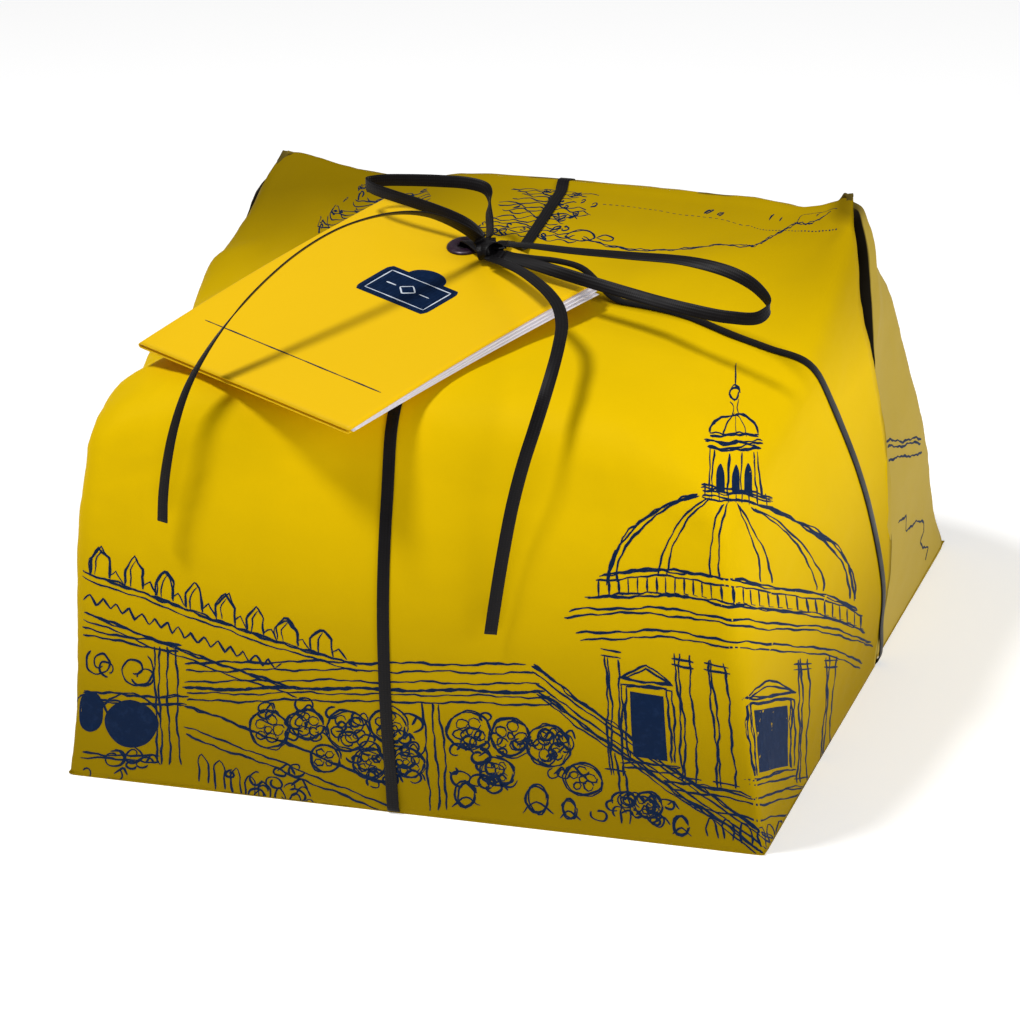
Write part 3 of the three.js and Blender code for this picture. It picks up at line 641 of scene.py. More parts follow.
    def painted_fold_shade(self):
        """Painted shade of each place on the sheet: 0 in the open, 1 inside a side fold, and 0.8 at the ears'
        tips.
        """
        depth = np.zeros(self.grid.shape[:2])
        for (open_, shade, side), start in zip(self.shade, (self.starts[1], self.starts[3])):
            for k, column in enumerate(shade):
                depth[:, start + k] = column
            depth[:, start - 1 if side > 0 else 0] = open_
        x, z = np.abs(self.grid[..., 0]), self.grid[..., 2]
        # Painted shade at the ears' tips.
        tips = 0.8 * ease(x, 90 * MM, 97 * MM) * ease(z, 138 * MM, 146 * MM)
        return np.maximum(depth, tips)

    def find_normals(self):
        """The way out of the parcel at every point of the sheet."""
        grid = self.grid
        round_ = np.roll(grid, -1, axis=1) - np.roll(grid, 1, axis=1)
        up = np.empty_like(grid)
        up[1:-1] = grid[2:] - grid[:-2]
        up[0], up[-1] = grid[1] - grid[0], grid[-1] - grid[-2]
        return unit(np.cross(round_, up))

    def crease(self):
        """Hand-made unevenness: broad waves, fine dents, and the pull lines from knot and ears."""
        settings = bpy.context.scene.panettone_wrap
        normals = self.find_normals()
        rows, columns = self.grid.shape[:2]
        lift = np.zeros((rows, columns))
        for r in range(rows):
            for c in range(columns):
                p = Vector(self.grid[r, c])
                second = noise.noise(p * BROAD_WAVES[1] + Vector((3, 1, 2)))
                broad = noise.noise(p * BROAD_WAVES[0]) + 0.5 * second
                fine = noise.noise(p * FINE_DENTS[0]) + 0.6 * noise.noise(p * FINE_DENTS[1])
                lift[r, c] = settings.wrinkle * (broad - 0.35) + settings.crumple * fine
        height = np.clip(self.grid[..., 2] / (8 * MM), 0, 1)
        calm = self.calm_near_ties()
        self.grid += (lift * height * calm)[..., None] * normals
        self.grid += self.pull_lines()[..., None] * normals

    def calm_near_ties(self):
        """Paper lies smooth under the two ties."""
        x, y, z = self.grid[..., 0], self.grid[..., 1], self.grid[..., 2]
        front_back = np.abs(x - -5 * MM)
        on_wall = np.clip(z / (120 * MM), 0, 1)
        side_y = 20 * MM - 44 * MM * on_wall
        right = np.abs(y - np.where(z > 118 * MM, -21 * MM, side_y))
        left = np.abs(y - np.where(z > 113 * MM, -37 * MM + 0.3 * (x + 107 * MM), -9 * MM - 0.25 * z))
        side = np.where(x > 0, right, left)
        return 0.25 + 0.75 * ease(np.minimum(front_back, side), 3 * MM, 16 * MM)

    def pull_lines(self):
        """Soft ridges of paper, each from one point to another with a height and a width in mm."""
        x, y = self.grid[..., 0] / MM, self.grid[..., 1] / MM
        z = self.grid[..., 2] / MM
        top = ease(z, 100, 122)
        total = np.zeros(x.shape)
        for (ax, ay), (bx, by), tall, wide in PULL_LINES:
            dx, dy = bx - ax, by - ay
            length = math.hypot(dx, dy)
            along = ((x - ax) * dx + (y - ay) * dy) / length
            across = ((y - ay) * dx - (x - ax) * dy) / length
            t = np.clip(along / length, 0, 1)
            end = np.clip(1 - np.abs(2 * t - 1) ** 3, 0, 1) * ((along > 0) & (along < length))
            total += tall * end * np.exp(-(across / wide) ** 2)
        return total * top * MM

    def measure(self):
        """Places on the flat sheet: across it from the middle of the front, and up it from the base edge."""
        front = self.grid[:, :self.front_columns]
        steps = np.linalg.norm(np.diff(front, axis=0), axis=2)
        self.up = np.vstack([np.zeros(self.front_columns), np.cumsum(steps, axis=0)])
        ribs = np.arange(self.front_columns) / FRONT_PER_RIB
        self.across = np.interp(ribs, np.arange(len(RIB_PLACES)), np.array(RIB_PLACES) * MM)

    def at(self, across, up, lift=0.0):
        """Points of the front panel at places on the flat sheet, lifted off it."""
        across, up = np.asarray(across, float), np.asarray(up, float)
        c = np.interp(across, self.across, np.arange(self.front_columns))
        c = np.clip(c, 0, self.front_columns - 1.001)
        c0 = c.astype(int)
        fc = c - c0
        column = self.up[:, c0] * (1 - fc) + self.up[:, c0 + 1] * fc
        r0 = np.clip((column <= up).sum(axis=0) - 1, 0, len(column) - 2)
        n = np.arange(len(up))
        fr = np.clip((up - column[r0, n]) / (column[r0 + 1, n] - column[r0, n]), 0, 1)[:, None]
        fc = fc[:, None]
        point, normal = (
            (a[r0, c0] * (1 - fc) + a[r0, c0 + 1] * fc) * (1 - fr)
            + (a[r0 + 1, c0] * (1 - fc) + a[r0 + 1, c0 + 1] * fc) * fr
            for a in (self.grid, self.normals)
        )
        return point + unit(normal) * lift


PULL_LINES = (
    ((99, 56), (40, -10), 0.9, 7.0),
    ((99, 56), (70, -60), -1.0, 10.0),
    ((-96, 56), (-40, 0), 1.2, 8.0),
    ((-96, 56), (-72, -60), -1.2, 9.0),
    ((0, -15), (70, 40), -0.7, 9.0),
    ((0, -15), (-60, 50), -0.8, 9.0),
    ((-118, -50), (-84, -38), 2.0, 7.0),
    ((-118, -20), (-86, -12), -2.2, 7.5),
    ((-118, 6), (-84, 8), 1.8, 7.0),
    ((-114, -86), (-84, -70), 1.5, 8.0),
    ((-112, -70), (-84, -56), -1.4, 6.0),
    ((118, -88), (80, -70), 0.8, 9.0),
)


def ridge_fold(sheet):
    """The front panel's top margin, folded over the ridge and pressed down on the back panel."""
    front_edge = sheet.grid[-1, :sheet.front_columns]
    first, last = sheet.starts[2], sheet.starts[3]
    back = sheet.grid[:, first:last][:, ::-1]
    places = np.interp(front_edge[:, 0], back[-1, :, 0], np.arange(back.shape[1]))
    low = np.clip(places.astype(int), 0, back.shape[1] - 2)
    part = (places - low)[:, None]
    count = len(places)
    along = np.linspace(0, 1, count)
    ends = ease(along, 0, 0.06) * (1 - ease(along, 0.94, 1))
    margin = (10 + 1.6 * np.sin(along * 9.0) + 1.2 * np.sin(along * 23.0 + 1)) * (0.02 + 0.98 * ends)
    crest = front_edge + np.stack([0 * along, 0.2 + 1.1 * ends, 0.9 * ends], axis=1) * MM
    lines = [front_edge, crest]
    for step in range(9):
        down = (0.3 + step / 8 * (margin - 0.3)) / 1.05
        rows_down = sheet.rows[-1] - down * STATIONS / BACK_LENGTH
        r = np.clip(rows_down * ROWS_PER_STATION, 0, back.shape[0] - 2)
        r0 = r.astype(int)
        fr = (r - r0)[:, None]
        at_row = [back[k, low] * (1 - part) + back[k, low + 1] * part for k in (r0, r0 + 1)]
        lift = (0.75 + 0.9 * (step / 8) ** 2 + 0.3 * np.sin(along * 31 + step * 0.2)) * (0.15 + 0.85 * ends)
        out = np.array([0, 0.86, 0.5]) * MM
        lines.append(at_row[0] * (1 - fr) + at_row[1] * fr + lift[:, None] * out)
    return lines[1:]


# The painted shade on the printed side and the painted shade deep in the folds, against the colours of the
# paper.
PAINTED_SHADE_FACTOR = 0.28
FOLD_DARK = (0.006, 0.004, 0.001)


def sheet_mesh(sheet):
    """The ring of paper as one mesh, its front panel printed and the rest in the sheet's duller back."""
    settings = bpy.context.scene.panettone_wrap
    rows, columns = sheet.grid.shape[:2]
    faces = ring_faces(rows, columns)
    slots = [0 if c < sheet.front_columns - 1 else 1 for c in range(columns)] * (rows - 1)
    vertices = [sheet.grid.reshape(-1, 3)]
    below = [(rows - 1) * columns + c for c in range(sheet.front_columns)]
    total = rows * columns
    for line in ridge_fold(sheet):
        above = list(range(total, total + len(line)))
        total += len(line)
        vertices.append(line)
        for c in range(len(line) - 1):
            faces.append((below[c], below[c + 1], above[c + 1], above[c]))
            slots.append(0)
        below = above
    wrap = mesh_object("paper_wrap", np.vstack(vertices), faces)
    # The printed side with its painted shade by place, and the back with its painted shade in the folds and
    # ears' tips.
    wrap.data.materials.append(paper_material(
        "Printed paper", settings.colour, 0.35, 0.65, 0.03, 0.3, painted_shade_colour=scaled(settings.colour, PAINTED_SHADE_FACTOR)))
    wrap.data.materials.append(paper_material(
        "Paper back", settings.flap_colour, 0.4, 0.65, 0.06, 0.3, shaded=FOLD_DARK))
    wrap.data.polygons.foreach_set("material_index", slots)
    # The painted shade of the folds and the ears' tips, carried to the material as a point attribute.
    depth = wrap.data.attributes.new("painted_fold_shade", "FLOAT", "POINT")
    depth.data.foreach_set("value", np.pad(sheet.depth.reshape(-1), (0, total - rows * columns)))
    return wrap


# Folded flaps under the parcel: four corners, outer edge first, and the height of the layer. Then
# where the ties pass below: one along y at its x, the other along x at its y and slope.
BASE_FLAPS = (
    ((-115, 115), (-115, -115), (-28, -56), (-28, 62), 1.75),
    ((115, -115), (115, 115), (30, 58), (30, -60), 1.7),
    ((115, 115), (-115, 115), (-66, -18), (70, -26), 1.35),
    ((-115, -115), (115, -115), (62, 16), (-58, 24), 0.95),
)
TIE_BELOW_X = -5
TIE_BELOW_Y = 4
TIE_BELOW_SLOPE = 32 / 230


def base_flaps():
    """The four flaps, pressed up where the ties pass beneath them."""
    across, deep = 60, 32
    vertices, faces = [], []
    for near_a, near_b, far_b, far_a, height in BASE_FLAPS:
        first = len(vertices)
        for j in range(deep + 1):
            t = j / deep
            for i in range(across + 1):
                s = i / across
                near = [near_a[k] * (1 - s) + near_b[k] * s for k in (0, 1)]
                far = [far_a[k] * (1 - s) + far_b[k] * s for k in (0, 1)]
                x, y = (near[k] * (1 - t) + far[k] * t for k in (0, 1))
                wave = noise.noise(Vector((x * 0.03, y * 0.03, height))) * 0.35
                from_ties = abs(x - TIE_BELOW_X), abs(y - TIE_BELOW_Y - x * TIE_BELOW_SLOPE)
                dent = 1 - float(ease(min(from_ties), 2.2, 7))
                double = 1 - float(ease(max(from_ties), 2.5, 12))
                z = max(height * float(ease(t, -0.05, 0.06)) + wave * min(1, t * 6), 0.12 + 0.3 * (t > 0))
                z = max(z, (height * 0.25 + 1.05) * dent, (height * 0.25 + 2.4) * double)
                vertices.append((x * MM, y * MM, z * MM))
        faces += patch_faces(deep + 1, across + 1, first)
    return vertices, faces


def build_wrap():
    sheet = PaperSheet()
    sheet.measure()
    wrap = sheet_mesh(sheet)
    surface = BVHTree.FromPolygons(
        [v.co for v in wrap.data.vertices], [tuple(p.vertices) for p in wrap.data.polygons])
    select(wrap, mesh_object("paper_base", *base_flaps(), bpy.data.materials["Printed paper"]))
    bpy.ops.object.join()
    thicken(wrap, "Paper thickness", bpy.context.scene.panettone_wrap.thickness, -1)
    finish(wrap, "wrap_paper")
    return sheet, surface


# ------------------------------------------------------------------ the print
class Pen:
    """Draws lines and filled shapes, as thin closed strips, on a surface given by place(u, v, lift)."""

    def __init__(self, place, width, seed, proud=0.075, shake=0.32):
        self.place, self.width, self.proud, self.shake = place, width, proud, shake
        self.random = random.Random(seed)
        self.vertices, self.faces = [], []

    def line(self, points, width=1.0, smooth=False, step=1.3, shake=1.0, twice=False):
        """One pen line through points, in millimetres on the drawing."""
        points = np.asarray(points, float)
        if smooth and len(points) > 2:
            points = spline(points, np.linspace(0, len(points) - 1, (len(points) - 1) * 10 + 1))
        length = run_lengths(points)
        count = max(int(length[-1] / step) + 1, 2)
        s = np.linspace(0, length[-1], count)
        path = np.stack([np.interp(s, length, points[:, k]) for k in (0, 1)], axis=1)
        phases = [self.random.uniform(0, 40) for _ in range(6)]
        if count > 3:
            for k in (0, 1):
                path[:, k] += self.shake * shake * (
                    np.sin(s * 0.21 + phases[3 * k]) + 0.6 * np.sin(s * 0.57 + phases[3 * k + 1])
                    + 0.35 * np.sin(s * 1.3 + phases[3 * k + 2]))
        along = unit(np.gradient(path, axis=0))
        side = np.stack([-along[:, 1], along[:, 0]], axis=1)
        press = 1 + 0.28 * np.sin(s * 0.33 + phases[0]) + 0.15 * np.sin(s * 1.1 + phases[4])
        taper = np.minimum(1, 0.45 + np.minimum(s, length[-1] - s) / 1.5)
        half = (self.width * width * press * taper / 2)[:, None]
        left, right = path + side * half, path - side * half
        self.strip(left, right)
        if twice:
            shift = np.array([self.random.uniform(-0.7, 0.7), self.random.uniform(-0.5, 0.5)])
            self.line(points + shift, width * 0.7, False, step, shake * 1.3)

    def strip(self, left, right):
        """A closed thin strip between two lines on the drawing."""
        rings = [self.place(edge[:, 0], edge[:, 1], lift) for edge, lift in (
            (left, -self.proud), (left, self.proud), (right, self.proud), (right, -self.proud))]
        first, count = len(self.vertices), len(left)
        for i in range(count):
            self.vertices += [ring[i] for ring in rings]
        for i in range(count - 1):
            a = first + 4 * i
            self.faces += [(a + k, a + (k + 1) % 4, a + 4 + (k + 1) % 4, a + 4 + k) for k in range(4)]
        last = first + 4 * (count - 1)
        self.faces += [(first + 3, first + 2, first + 1, first), (last, last + 1, last + 2, last + 3)]

    def fill(self, left, right):
        """A filled shape between a left and a right outline with as many points each."""
        left, right = np.asarray(left, float), np.asarray(right, float)
        span = np.linalg.norm(np.diff(left, axis=0), axis=1).max() * (len(left) - 1)
        places = np.linspace(0, len(left) - 1, max(len(left), int(span / 1.2) + 2))
        left, right = (np.stack([np.interp(places, np.arange(len(side)), side[:, k]) for k in (0, 1)], axis=1)
                       for side in (left, right))
        columns = max(int(np.linalg.norm(right - left, axis=1).max() / 1.4), 2)
        for k in range(columns):
            a, b = k / columns, (k + 1) / columns + 0.02
            self.strip(left * (1 - b) + right * b, left * (1 - a) + right * a)

    def disc(self, u, v, wide, tall):
        angles = np.linspace(math.pi / 2, -math.pi / 2, 16)
        wobble = 1 + 0.05 * np.sin(angles * 3 + u)
        self.fill(*(np.stack([u + side * wide * np.cos(angles) * wobble, v + tall * np.sin(angles)], axis=1)
                    for side in (-1, 1)))

    def ring(self, u, v, wide, tall, **options):
        angles = np.linspace(0, 2 * math.pi, 22)
        grow = self.random.uniform(0.96, 1.06)
        points = np.stack([u + wide * grow * np.cos(angles), v + tall * np.sin(angles)], axis=1)
        self.line(points, **options)

    def mesh(self, name, material):
        return mesh_object(name, self.vertices, self.faces, material, smooth=False)


# The drawing board: u to the right and v up, in millimetres. Past the right corner of the parcel
# the drawing stretches and drops so that its level lines stay level to the eye.
CORNER_U = 113
HORIZON = 60


def board(sheet):
    def place(u, v, lift):
        past = 0.5 * (u - CORNER_U + np.sqrt((u - CORNER_U) ** 2 + 60))
        across = u + 1.25 * past
        up = v - 0.1 * np.maximum(HORIZON - u, 0) - 1.02 * past + 0.55 * np.maximum(v - 126, 0)
        return sheet.at(across * MM, np.maximum(up, 0.4) * MM, lift * MM)
    return place


# The drawing on the top closes up over its last millimetres before the ridge.
CLOSING = 9


def flat_sheet(sheet):
    """The sheet as it lies flat; the drawing closes up as it nears the ridge."""
    def place(u, v, lift):
        near = np.interp(u * MM, sheet.across, sheet.up[-1]) / MM - CLOSING - 1
        over = np.maximum(v - near, 0)
        up = np.minimum(v, near) + CLOSING * (1 - np.exp(-over / CLOSING))
        return sheet.at(u * MM, up * MM, lift * MM)
    return place


# The dome on the drawing: its middle, its foot, its height and its half width.
DOME_U, DOME_BASE, DOME_TOP, DOME_HALF = 111, 86, 33, 44


def arc(u, v, wide, tall, angles):
    return [(u + wide * math.cos(a), v + tall * math.sin(a)) for a in angles]


def draw_dome(pen):
    """A ribbed dome with a lantern, a cornice with dentils, and a drum with windows."""
    def half(v):
        return DOME_HALF * math.sqrt(max(0.0, 1 - ((v - DOME_BASE) / DOME_TOP) ** 2))

    def sag(t):
        return 7.5 * (1 - t * t)

    heights = np.linspace(0, 31, 16)
    for t in (-1, -0.94, -0.62, -0.55, -0.2, -0.12, 0.22, 0.3, 0.64, 0.7, 0.95, 1):
        line = [(DOME_U + half(DOME_BASE + h) * t, DOME_BASE + h + sag(t) * (1 - h / 31) ** 2)
                for h in heights]
        pen.line(line, 1.0 if abs(t) > 0.9 else 0.75, twice=abs(t) > 0.98)
    for reach, drop, weight in ((46, 0, 1.0), (48, -2.2, 0.7), (50, -8.2, 1.0), (56, -12.5, 0.9),
                                (58, -14.4, 0.8), (53, -19.5, 0.9), (52, -21.5, 0.7)):
        line = [(DOME_U + reach * t, DOME_BASE + drop + sag(t) - 3.0 * t) for t in np.linspace(-1, 1, 24)]
        pen.line(line, weight, twice=weight > 0.95)
    for t in np.linspace(-0.98, 0.98, 30):
        u, top = DOME_U + 48 * t, DOME_BASE - 2.4 + sag(t) - 3.0 * t
        pen.line([(u, top), (u + 0.2, top - 4.6)], 0.85, shake=0.3)
        pen.line([(u, top - 4.6), (u + 1.7, top - 4.8)], 0.7, shake=0.3)
    draw_lantern(pen)
    draw_drum(pen)


def draw_lantern(pen):
    u, v = DOME_U + 2, 117

    def cornice(steps, rise):
        for wide, height in steps:
            line = [(u + wide * t, v + height + rise * (1 - t * t)) for t in np.linspace(-1, 1, 12)]
            pen.line(line, 0.9, twice=True)

    cornice(((15, 0), (14.6, 2.0), (15.5, 3.4)), 1.8)
    for t in np.linspace(-0.9, 0.9, 9):
        pen.line([(u + 15 * t, v + 0.5), (u + 15 * t, v + 4.5)], 0.7, shake=0.4)
    for t in (-1, -0.86, -0.3, 0.3, 0.86, 1):
        pen.line([(u + 11.5 * t, v + 3), (u + 11 * t, v + 15.5)], 0.9)
    for shift, wide in ((-6.4, 1.7), (0, 2.2), (6.4, 1.7)):
        rows = np.linspace(0, 1, 9)
        width = [wide * math.sqrt(max(0.02, 1 - max(0.0, (r - 0.6) / 0.4) ** 2)) for r in rows]
        pen.fill(*([(u + shift + side * w, v + 3.5 + 9 * r) for r, w in zip(rows, width)]
                   for side in (-1, 1)))
    cornice(((13, 15.5), (14, 17.2), (12, 19.5)), 1.2)
    pen.line(arc(u, v + 19.5, -12, 8.5, np.linspace(0, math.pi, 18)), 0.9, twice=True)
    for t in (-0.5, 0, 0.5):
        pen.line(arc(u, v + 19.5, 12 * t, 8.5, np.linspace(0.1, 1.5, 10)), 0.6)
    for side in (-1, 1):
        pen.line([(u + side * 2, v + 28), (u + side, v + 31), (u + side * 2.4, v + 33)], 0.8)
    pen.ring(u, v + 35.6, 2.6, 2.4, twice=True)
    pen.line([(u, v + 38), (u, v + 46)], 1.0)


def draw_drum(pen):
    for left, right in ((66.5, 70.5), (90, 94.5), (100.5, 105.5), (131, 135), (143, 147)):
        for u in (left, left + 1.1, right):
            pen.line([(u, 66 + (1 if u > 80 else -3)), (u + 0.6, 45), (u, 24)], 0.75)
        for v in (65.5, 63.5, 25.5):
            pen.line([(left - 1.3, v), (right + 1.3, v - 0.2)], 0.8, shake=0.5)
    for left, right, low, high in ((74.5, 85.5, 31, 53), (113.5, 126.5, 31, 52)):
        rows = np.linspace(0, 1, 12)
        pen.fill([(left, low + (high - low) * r) for r in rows],
                 [(right, low + (high - low) * r - 0.3) for r in rows])
        for out in (1.6, 3.0):
            pen.line([(left - out, low - 1), (left - out, high + 2), (right + out, high + 2),
                      (right + out, low - 1)], 0.75, twice=out < 2)
        middle = (left + right) / 2
        for out, rise in ((3.8, 5.2), (2.6, 3.8)):
            pen.line([(left - out, high + 4), (middle, high + 4 + rise), (right + out, high + 4),
                      (left - out, high + 4)], 0.8)
        for drop in (2.2, 4.2):
            pen.line([(left - 4, low - drop), (right + 4, low - drop)], 0.8, twice=drop < 3)
    for v in (22.5, 20, 14.5):
        pen.line([(84 + (22.5 - v), v + 1), (112, v), (140, v - 0.5)], 0.85, twice=v > 22)
    for i in range(9):
        u = 96 + 4.7 * i
        pen.line([(u, 5.5 + 0.1 * i), (u, 10), (u + 1.7, 12.6), (u + 3.3, 10), (u + 3.3, 5.5)], 0.75,
                 smooth=True)


RAIL_TOP, RAIL_FOOT = (42, 57), (121, 3.5)


def draw_rails(pen):
    """The level rail, the sloping stair rail that meets it, and the roundels between."""
    for v, weight in ((59.5, 0.9), (56.8, 0.7), (53.2, 0.7), (50.6, 1.1), (48.9, 0.6), (46.4, 0.8)):
        pen.line([(-73, v - 1), (-30, v), (RAIL_TOP[0] + (57 - v) * 0.7, v)], weight, twice=weight > 1)
    for drop, weight in ((0, 1.0), (-2.4, 0.7), (-6.0, 0.7), (-8.4, 1.0), (-10.6, 0.6)):
        pen.line([(RAIL_TOP[0] - 0.2 * drop, RAIL_TOP[1] + 2.5 + drop),
                  (RAIL_FOOT[0] + drop * 1.1, RAIL_FOOT[1] + drop * 0.1 + 1)], weight, twice=weight > 0.9)
    for u in (6.5, 9.5, 12):
        pen.line([(u, 46), (u + 0.8, 28), (u, 8)], 0.8)
    for u in (69, 71.5):
        pen.line([(u, 31), (u, 6)], 0.8)
    spots = ((-44, 36, 6.5), (-31, 38, 5.5), (-18, 36, 7.0), (-5, 38, 6.0), (-26, 26, 4.6), (-12, 24.5, 5.2),
             (0.5, 25, 5.4), (21, 36.5, 6.5), (34, 35, 6.8), (47, 32.5, 7.2), (29, 22.5, 5.0), (58, 21, 6.0),
             (78, 14, 5.0))
    for u, v, size in spots:
        draw_rosette(pen, u, v, size)
    for u, v, size in ((18, 14, 4.4), (41, 13, 5.0), (52, 10, 3.6), (88, 8, 3.2)):
        pen.ring(u, v, size * 0.7, size, twice=True)
        pen.line([(u - size, v - size), (u, v - size * 0.2), (u + size, v - size)], 0.7, smooth=True)


def draw_rosette(pen, u, v, size):
    """A pierced roundel: a double rim, petals and a centre."""
    pen.ring(u, v, size, size, width=0.85, twice=True)
    petals = 5 if size > 5.3 else 4
    for k in range(petals):
        a = 2 * math.pi * k / petals + u
        pen.ring(u + 0.52 * size * math.cos(a), v + 0.52 * size * math.sin(a), 0.27 * size, 0.27 * size,
                 width=0.65)
    pen.ring(u, v, 0.2 * size, 0.2 * size, width=0.7)


def draw_scroll(pen, u, v, size, turn, way, wound):
    """A curl that winds inward from its rim."""
    angles = np.linspace(0, wound, int(wound * 3) + 2)
    pen.line([(u + size * (1 - 0.085 * a) * math.cos(turn + way * a),
               v + 0.88 * size * (1 - 0.085 * a) * math.sin(turn + way * a)) for a in angles],
             0.85, smooth=True, step=0.8)


# Where loose curls fill the balustrade: left, right, low, high and how many.
SCROLL_AREAS = (
    (-46, 3, 29, 46, 22), (-18, 4, 17, 30, 12), (14, 40, 16, 43, 22), (40, 56, 22, 36, 12),
    (58, 88, 8, 16, 14), (-110, -88, 17, 26, 7), (-66, -30, 9, 22, 12))


def draw_balustrade(pen):
    """Loose curls and leaves between the roundels."""
    shuffle = pen.random
    for left, right, low, high, count in SCROLL_AREAS:
        for _ in range(count):
            u, v, size = shuffle.uniform(left, right), shuffle.uniform(low, high), shuffle.uniform(1.7, 4.4)
            turn, way, wound = shuffle.uniform(0, 6.2), shuffle.choice((-1, 1)), shuffle.uniform(3.2, 8.4)
            draw_scroll(pen, u, v, size, turn, way, wound)
            if shuffle.random() < 0.45:
                reach = shuffle.uniform(2.5, 6)
                pen.line([(u, v), (u + 0.6 * reach, v + 0.5 * reach), (u + reach, v - 0.1 * reach)], 0.8,
                         smooth=True, step=0.8)


def draw_parapet(pen):
    """The gabled parapet at the left, its moulding, and the arcade under it."""
    def slope(u):
        return 87.5 - 0.325 * (u + 107) + 0.0006 * (u + 60) ** 2

    for drop, weight in ((0, 0.9), (-2.0, 0.6), (-14, 0.9), (-16.6, 0.6)):
        reach = -14 if drop > -5 else -34
        line = [(u, slope(u) + drop) for u in np.linspace(-110, reach, 16)]
        pen.line(line, weight, twice=weight > 0.8)
    for i in range(8):
        u, tall, wide = -107 + 11.2 * i, 9.5 - 0.35 * i, 6.2
        base = slope(u) + 0.6
        pen.line([(u, base), (u - 0.4, base + 0.55 * tall), (u + wide / 2, base + tall),
                  (u + wide, base + 0.45 * tall), (u + wide + 0.4, base - 0.32 * wide)], 0.95,
                 twice=i % 2 == 0)
        pen.line([(u + 1.8, base - 0.6), (u + 1.6, base + 0.5 * tall),
                  (u + wide / 2 + 0.6, base + 0.8 * tall)], 0.6)
        pen.line([(u + wide, base - 1), (u + wide + 2.2, base + 0.6), (u + 11.2, slope(u + 11.2) + 0.6)], 0.6)
    teeth = [(u, slope(u) - 8.5 + (1.7 if i % 2 else -1.2)) for i, u in enumerate(np.arange(-110, -38, 2.3))]
    pen.line(teeth, 0.85, step=0.8, shake=0.7)
    for u in (-80, -76.5, -84.5, -83):
        pen.line([(u, 64), (u + 0.6, 46), (u, 22)], 0.85)
    for v, reach in ((64.5, -74), (62.3, -75), (46.5, -72), (43.8, -73)):
        rise = (6, 2.5) if v > 50 else (1, 0.5)
        pen.line([(-111, v + rise[0]), (-92, v + rise[1]), (reach, v)], 0.85, twice=v < 47)
    for u, size, turn, way in ((-104.5, 6.2, 2.2, 1), (-91.5, 7.4, 0.9, -1)):
        draw_scroll(pen, u, 57.5 - 0.2 * (u + 100), size, turn, way, 9.4)
        draw_scroll(pen, u + size * 0.4, 55.5 - 0.2 * (u + 100), size * 0.6, turn + 2.6, -way, 6.0)
    pen.disc(-93.5, 36.5, 9.2, 8.8)
    pen.disc(-108.2, 40.5, 4.8, 7.4)
    for u, wide in ((-93.5, 11.2), (-109, 7)):
        pen.line(arc(u, 36.5, wide, 11, np.linspace(0, math.pi, 16)), 0.8)
    for v in (24.5, 22.8):
        pen.line([(-111, v + 1), (-84, v)], 0.8)
    for drop, weight in ((0, 0.9), (-8.0, 0.7), (-11, 0.9)):
        pen.line([(-74, 44 + drop), (-40, 32 + drop), (-4, 15.5 + drop)], weight, twice=drop == 0)
    for u in np.arange(-70, -18, 5.2):
        top = 29.5 - 0.42 * (u + 74)
        low = max(top - 12, 6.5)
        pen.line([(u, low), (u + 0.4, top - 4), (u + 2, top - 2), (u + 3.6, top - 4.5), (u + 3.8, low)], 0.7,
                 smooth=True)


def draw_top(pen):
    """Flowing lines on the top: ripples and curls, a long shore line and a dotted one."""
    shuffle = pen.random

    def ripple(up, left, right, step, tall, pitch, phase):
        points = [(u, up + tall * math.sin(u * pitch + phase)) for u in np.arange(left, right, step)]
        pen.line(points, 0.7, smooth=True, shake=1.5)

    for row in range(15):
        ripple(249 + row * 2.5, -22 + 4 * math.sin(row * 1.3), 17 + 7 * math.sin(row * 0.9 + 1),
               2.2, 0.9, 0.55, row * 2.1)
    for row in range(13):
        ripple(251 + row * 2.4, -124 + row * 1.6 + 5 * math.sin(row * 1.1),
               -76 + row * 0.7 + 5 * math.sin(row * 0.7 + 2), 2.4, 1.1, 0.5, row * 1.7)
    for _ in range(64):
        side = shuffle.random()
        u = shuffle.uniform(-24, 22) if side < 0.5 else shuffle.uniform(-122, -74)
        up = shuffle.uniform(250, 284)
        size = shuffle.uniform(1.2, 3.4)
        points = [(u + size * math.cos(a * 1.9 + u) * (0.5 + 0.1 * a), up + size * math.sin(a * 1.4) * 0.8)
                  for a in np.linspace(0, 4.4, 9)]
        pen.line(points, 0.85, smooth=True, step=0.9)
    shore = [(24, 252), (33, 249), (46, 247.5), (62, 249), (84, 253), (103, 254), (124, 245), (142, 239),
             (158, 233), (172, 226), (188, 212), (204, 201), (216, 196)]
    pen.line(shore, 0.8, smooth=True, shake=1.3, twice=True)
    pen.line([(16, 252), (20, 256), (26, 257), (30, 253), (26, 250), (19, 250), (16, 252)], 0.85,
             smooth=True, twice=True)
    pen.line([(31, 253), (35, 254.5), (39, 252.5), (36, 250.5), (31, 252)], 0.8, smooth=True)
    pen.line([(172, 226), (178, 234), (190, 228), (204, 214), (216, 203), (226, 188)], 0.8,
             smooth=True, shake=1.4)
    dots = spline(np.array([(26, 276), (60, 276), (100, 272), (140, 246), (180, 214), (228, 166)], float),
                  np.linspace(0, 5, 105))
    for a, b in zip(dots[::2], dots[1::2]):
        pen.line([a, b], 0.6, shake=0)
    for u, up, size in ((88, 279, 3.2), (96, 277, 2.0), (140, 256, 2.4), (198, 214, 2.2), (152, 246, 1.8)):
        pen.line([(u + size * (0.4 + 0.12 * a) * math.cos(a), up + size * 0.6 * math.sin(a * 1.3))
                  for a in np.linspace(0, 8, 16)], 0.8, smooth=True, step=0.8)


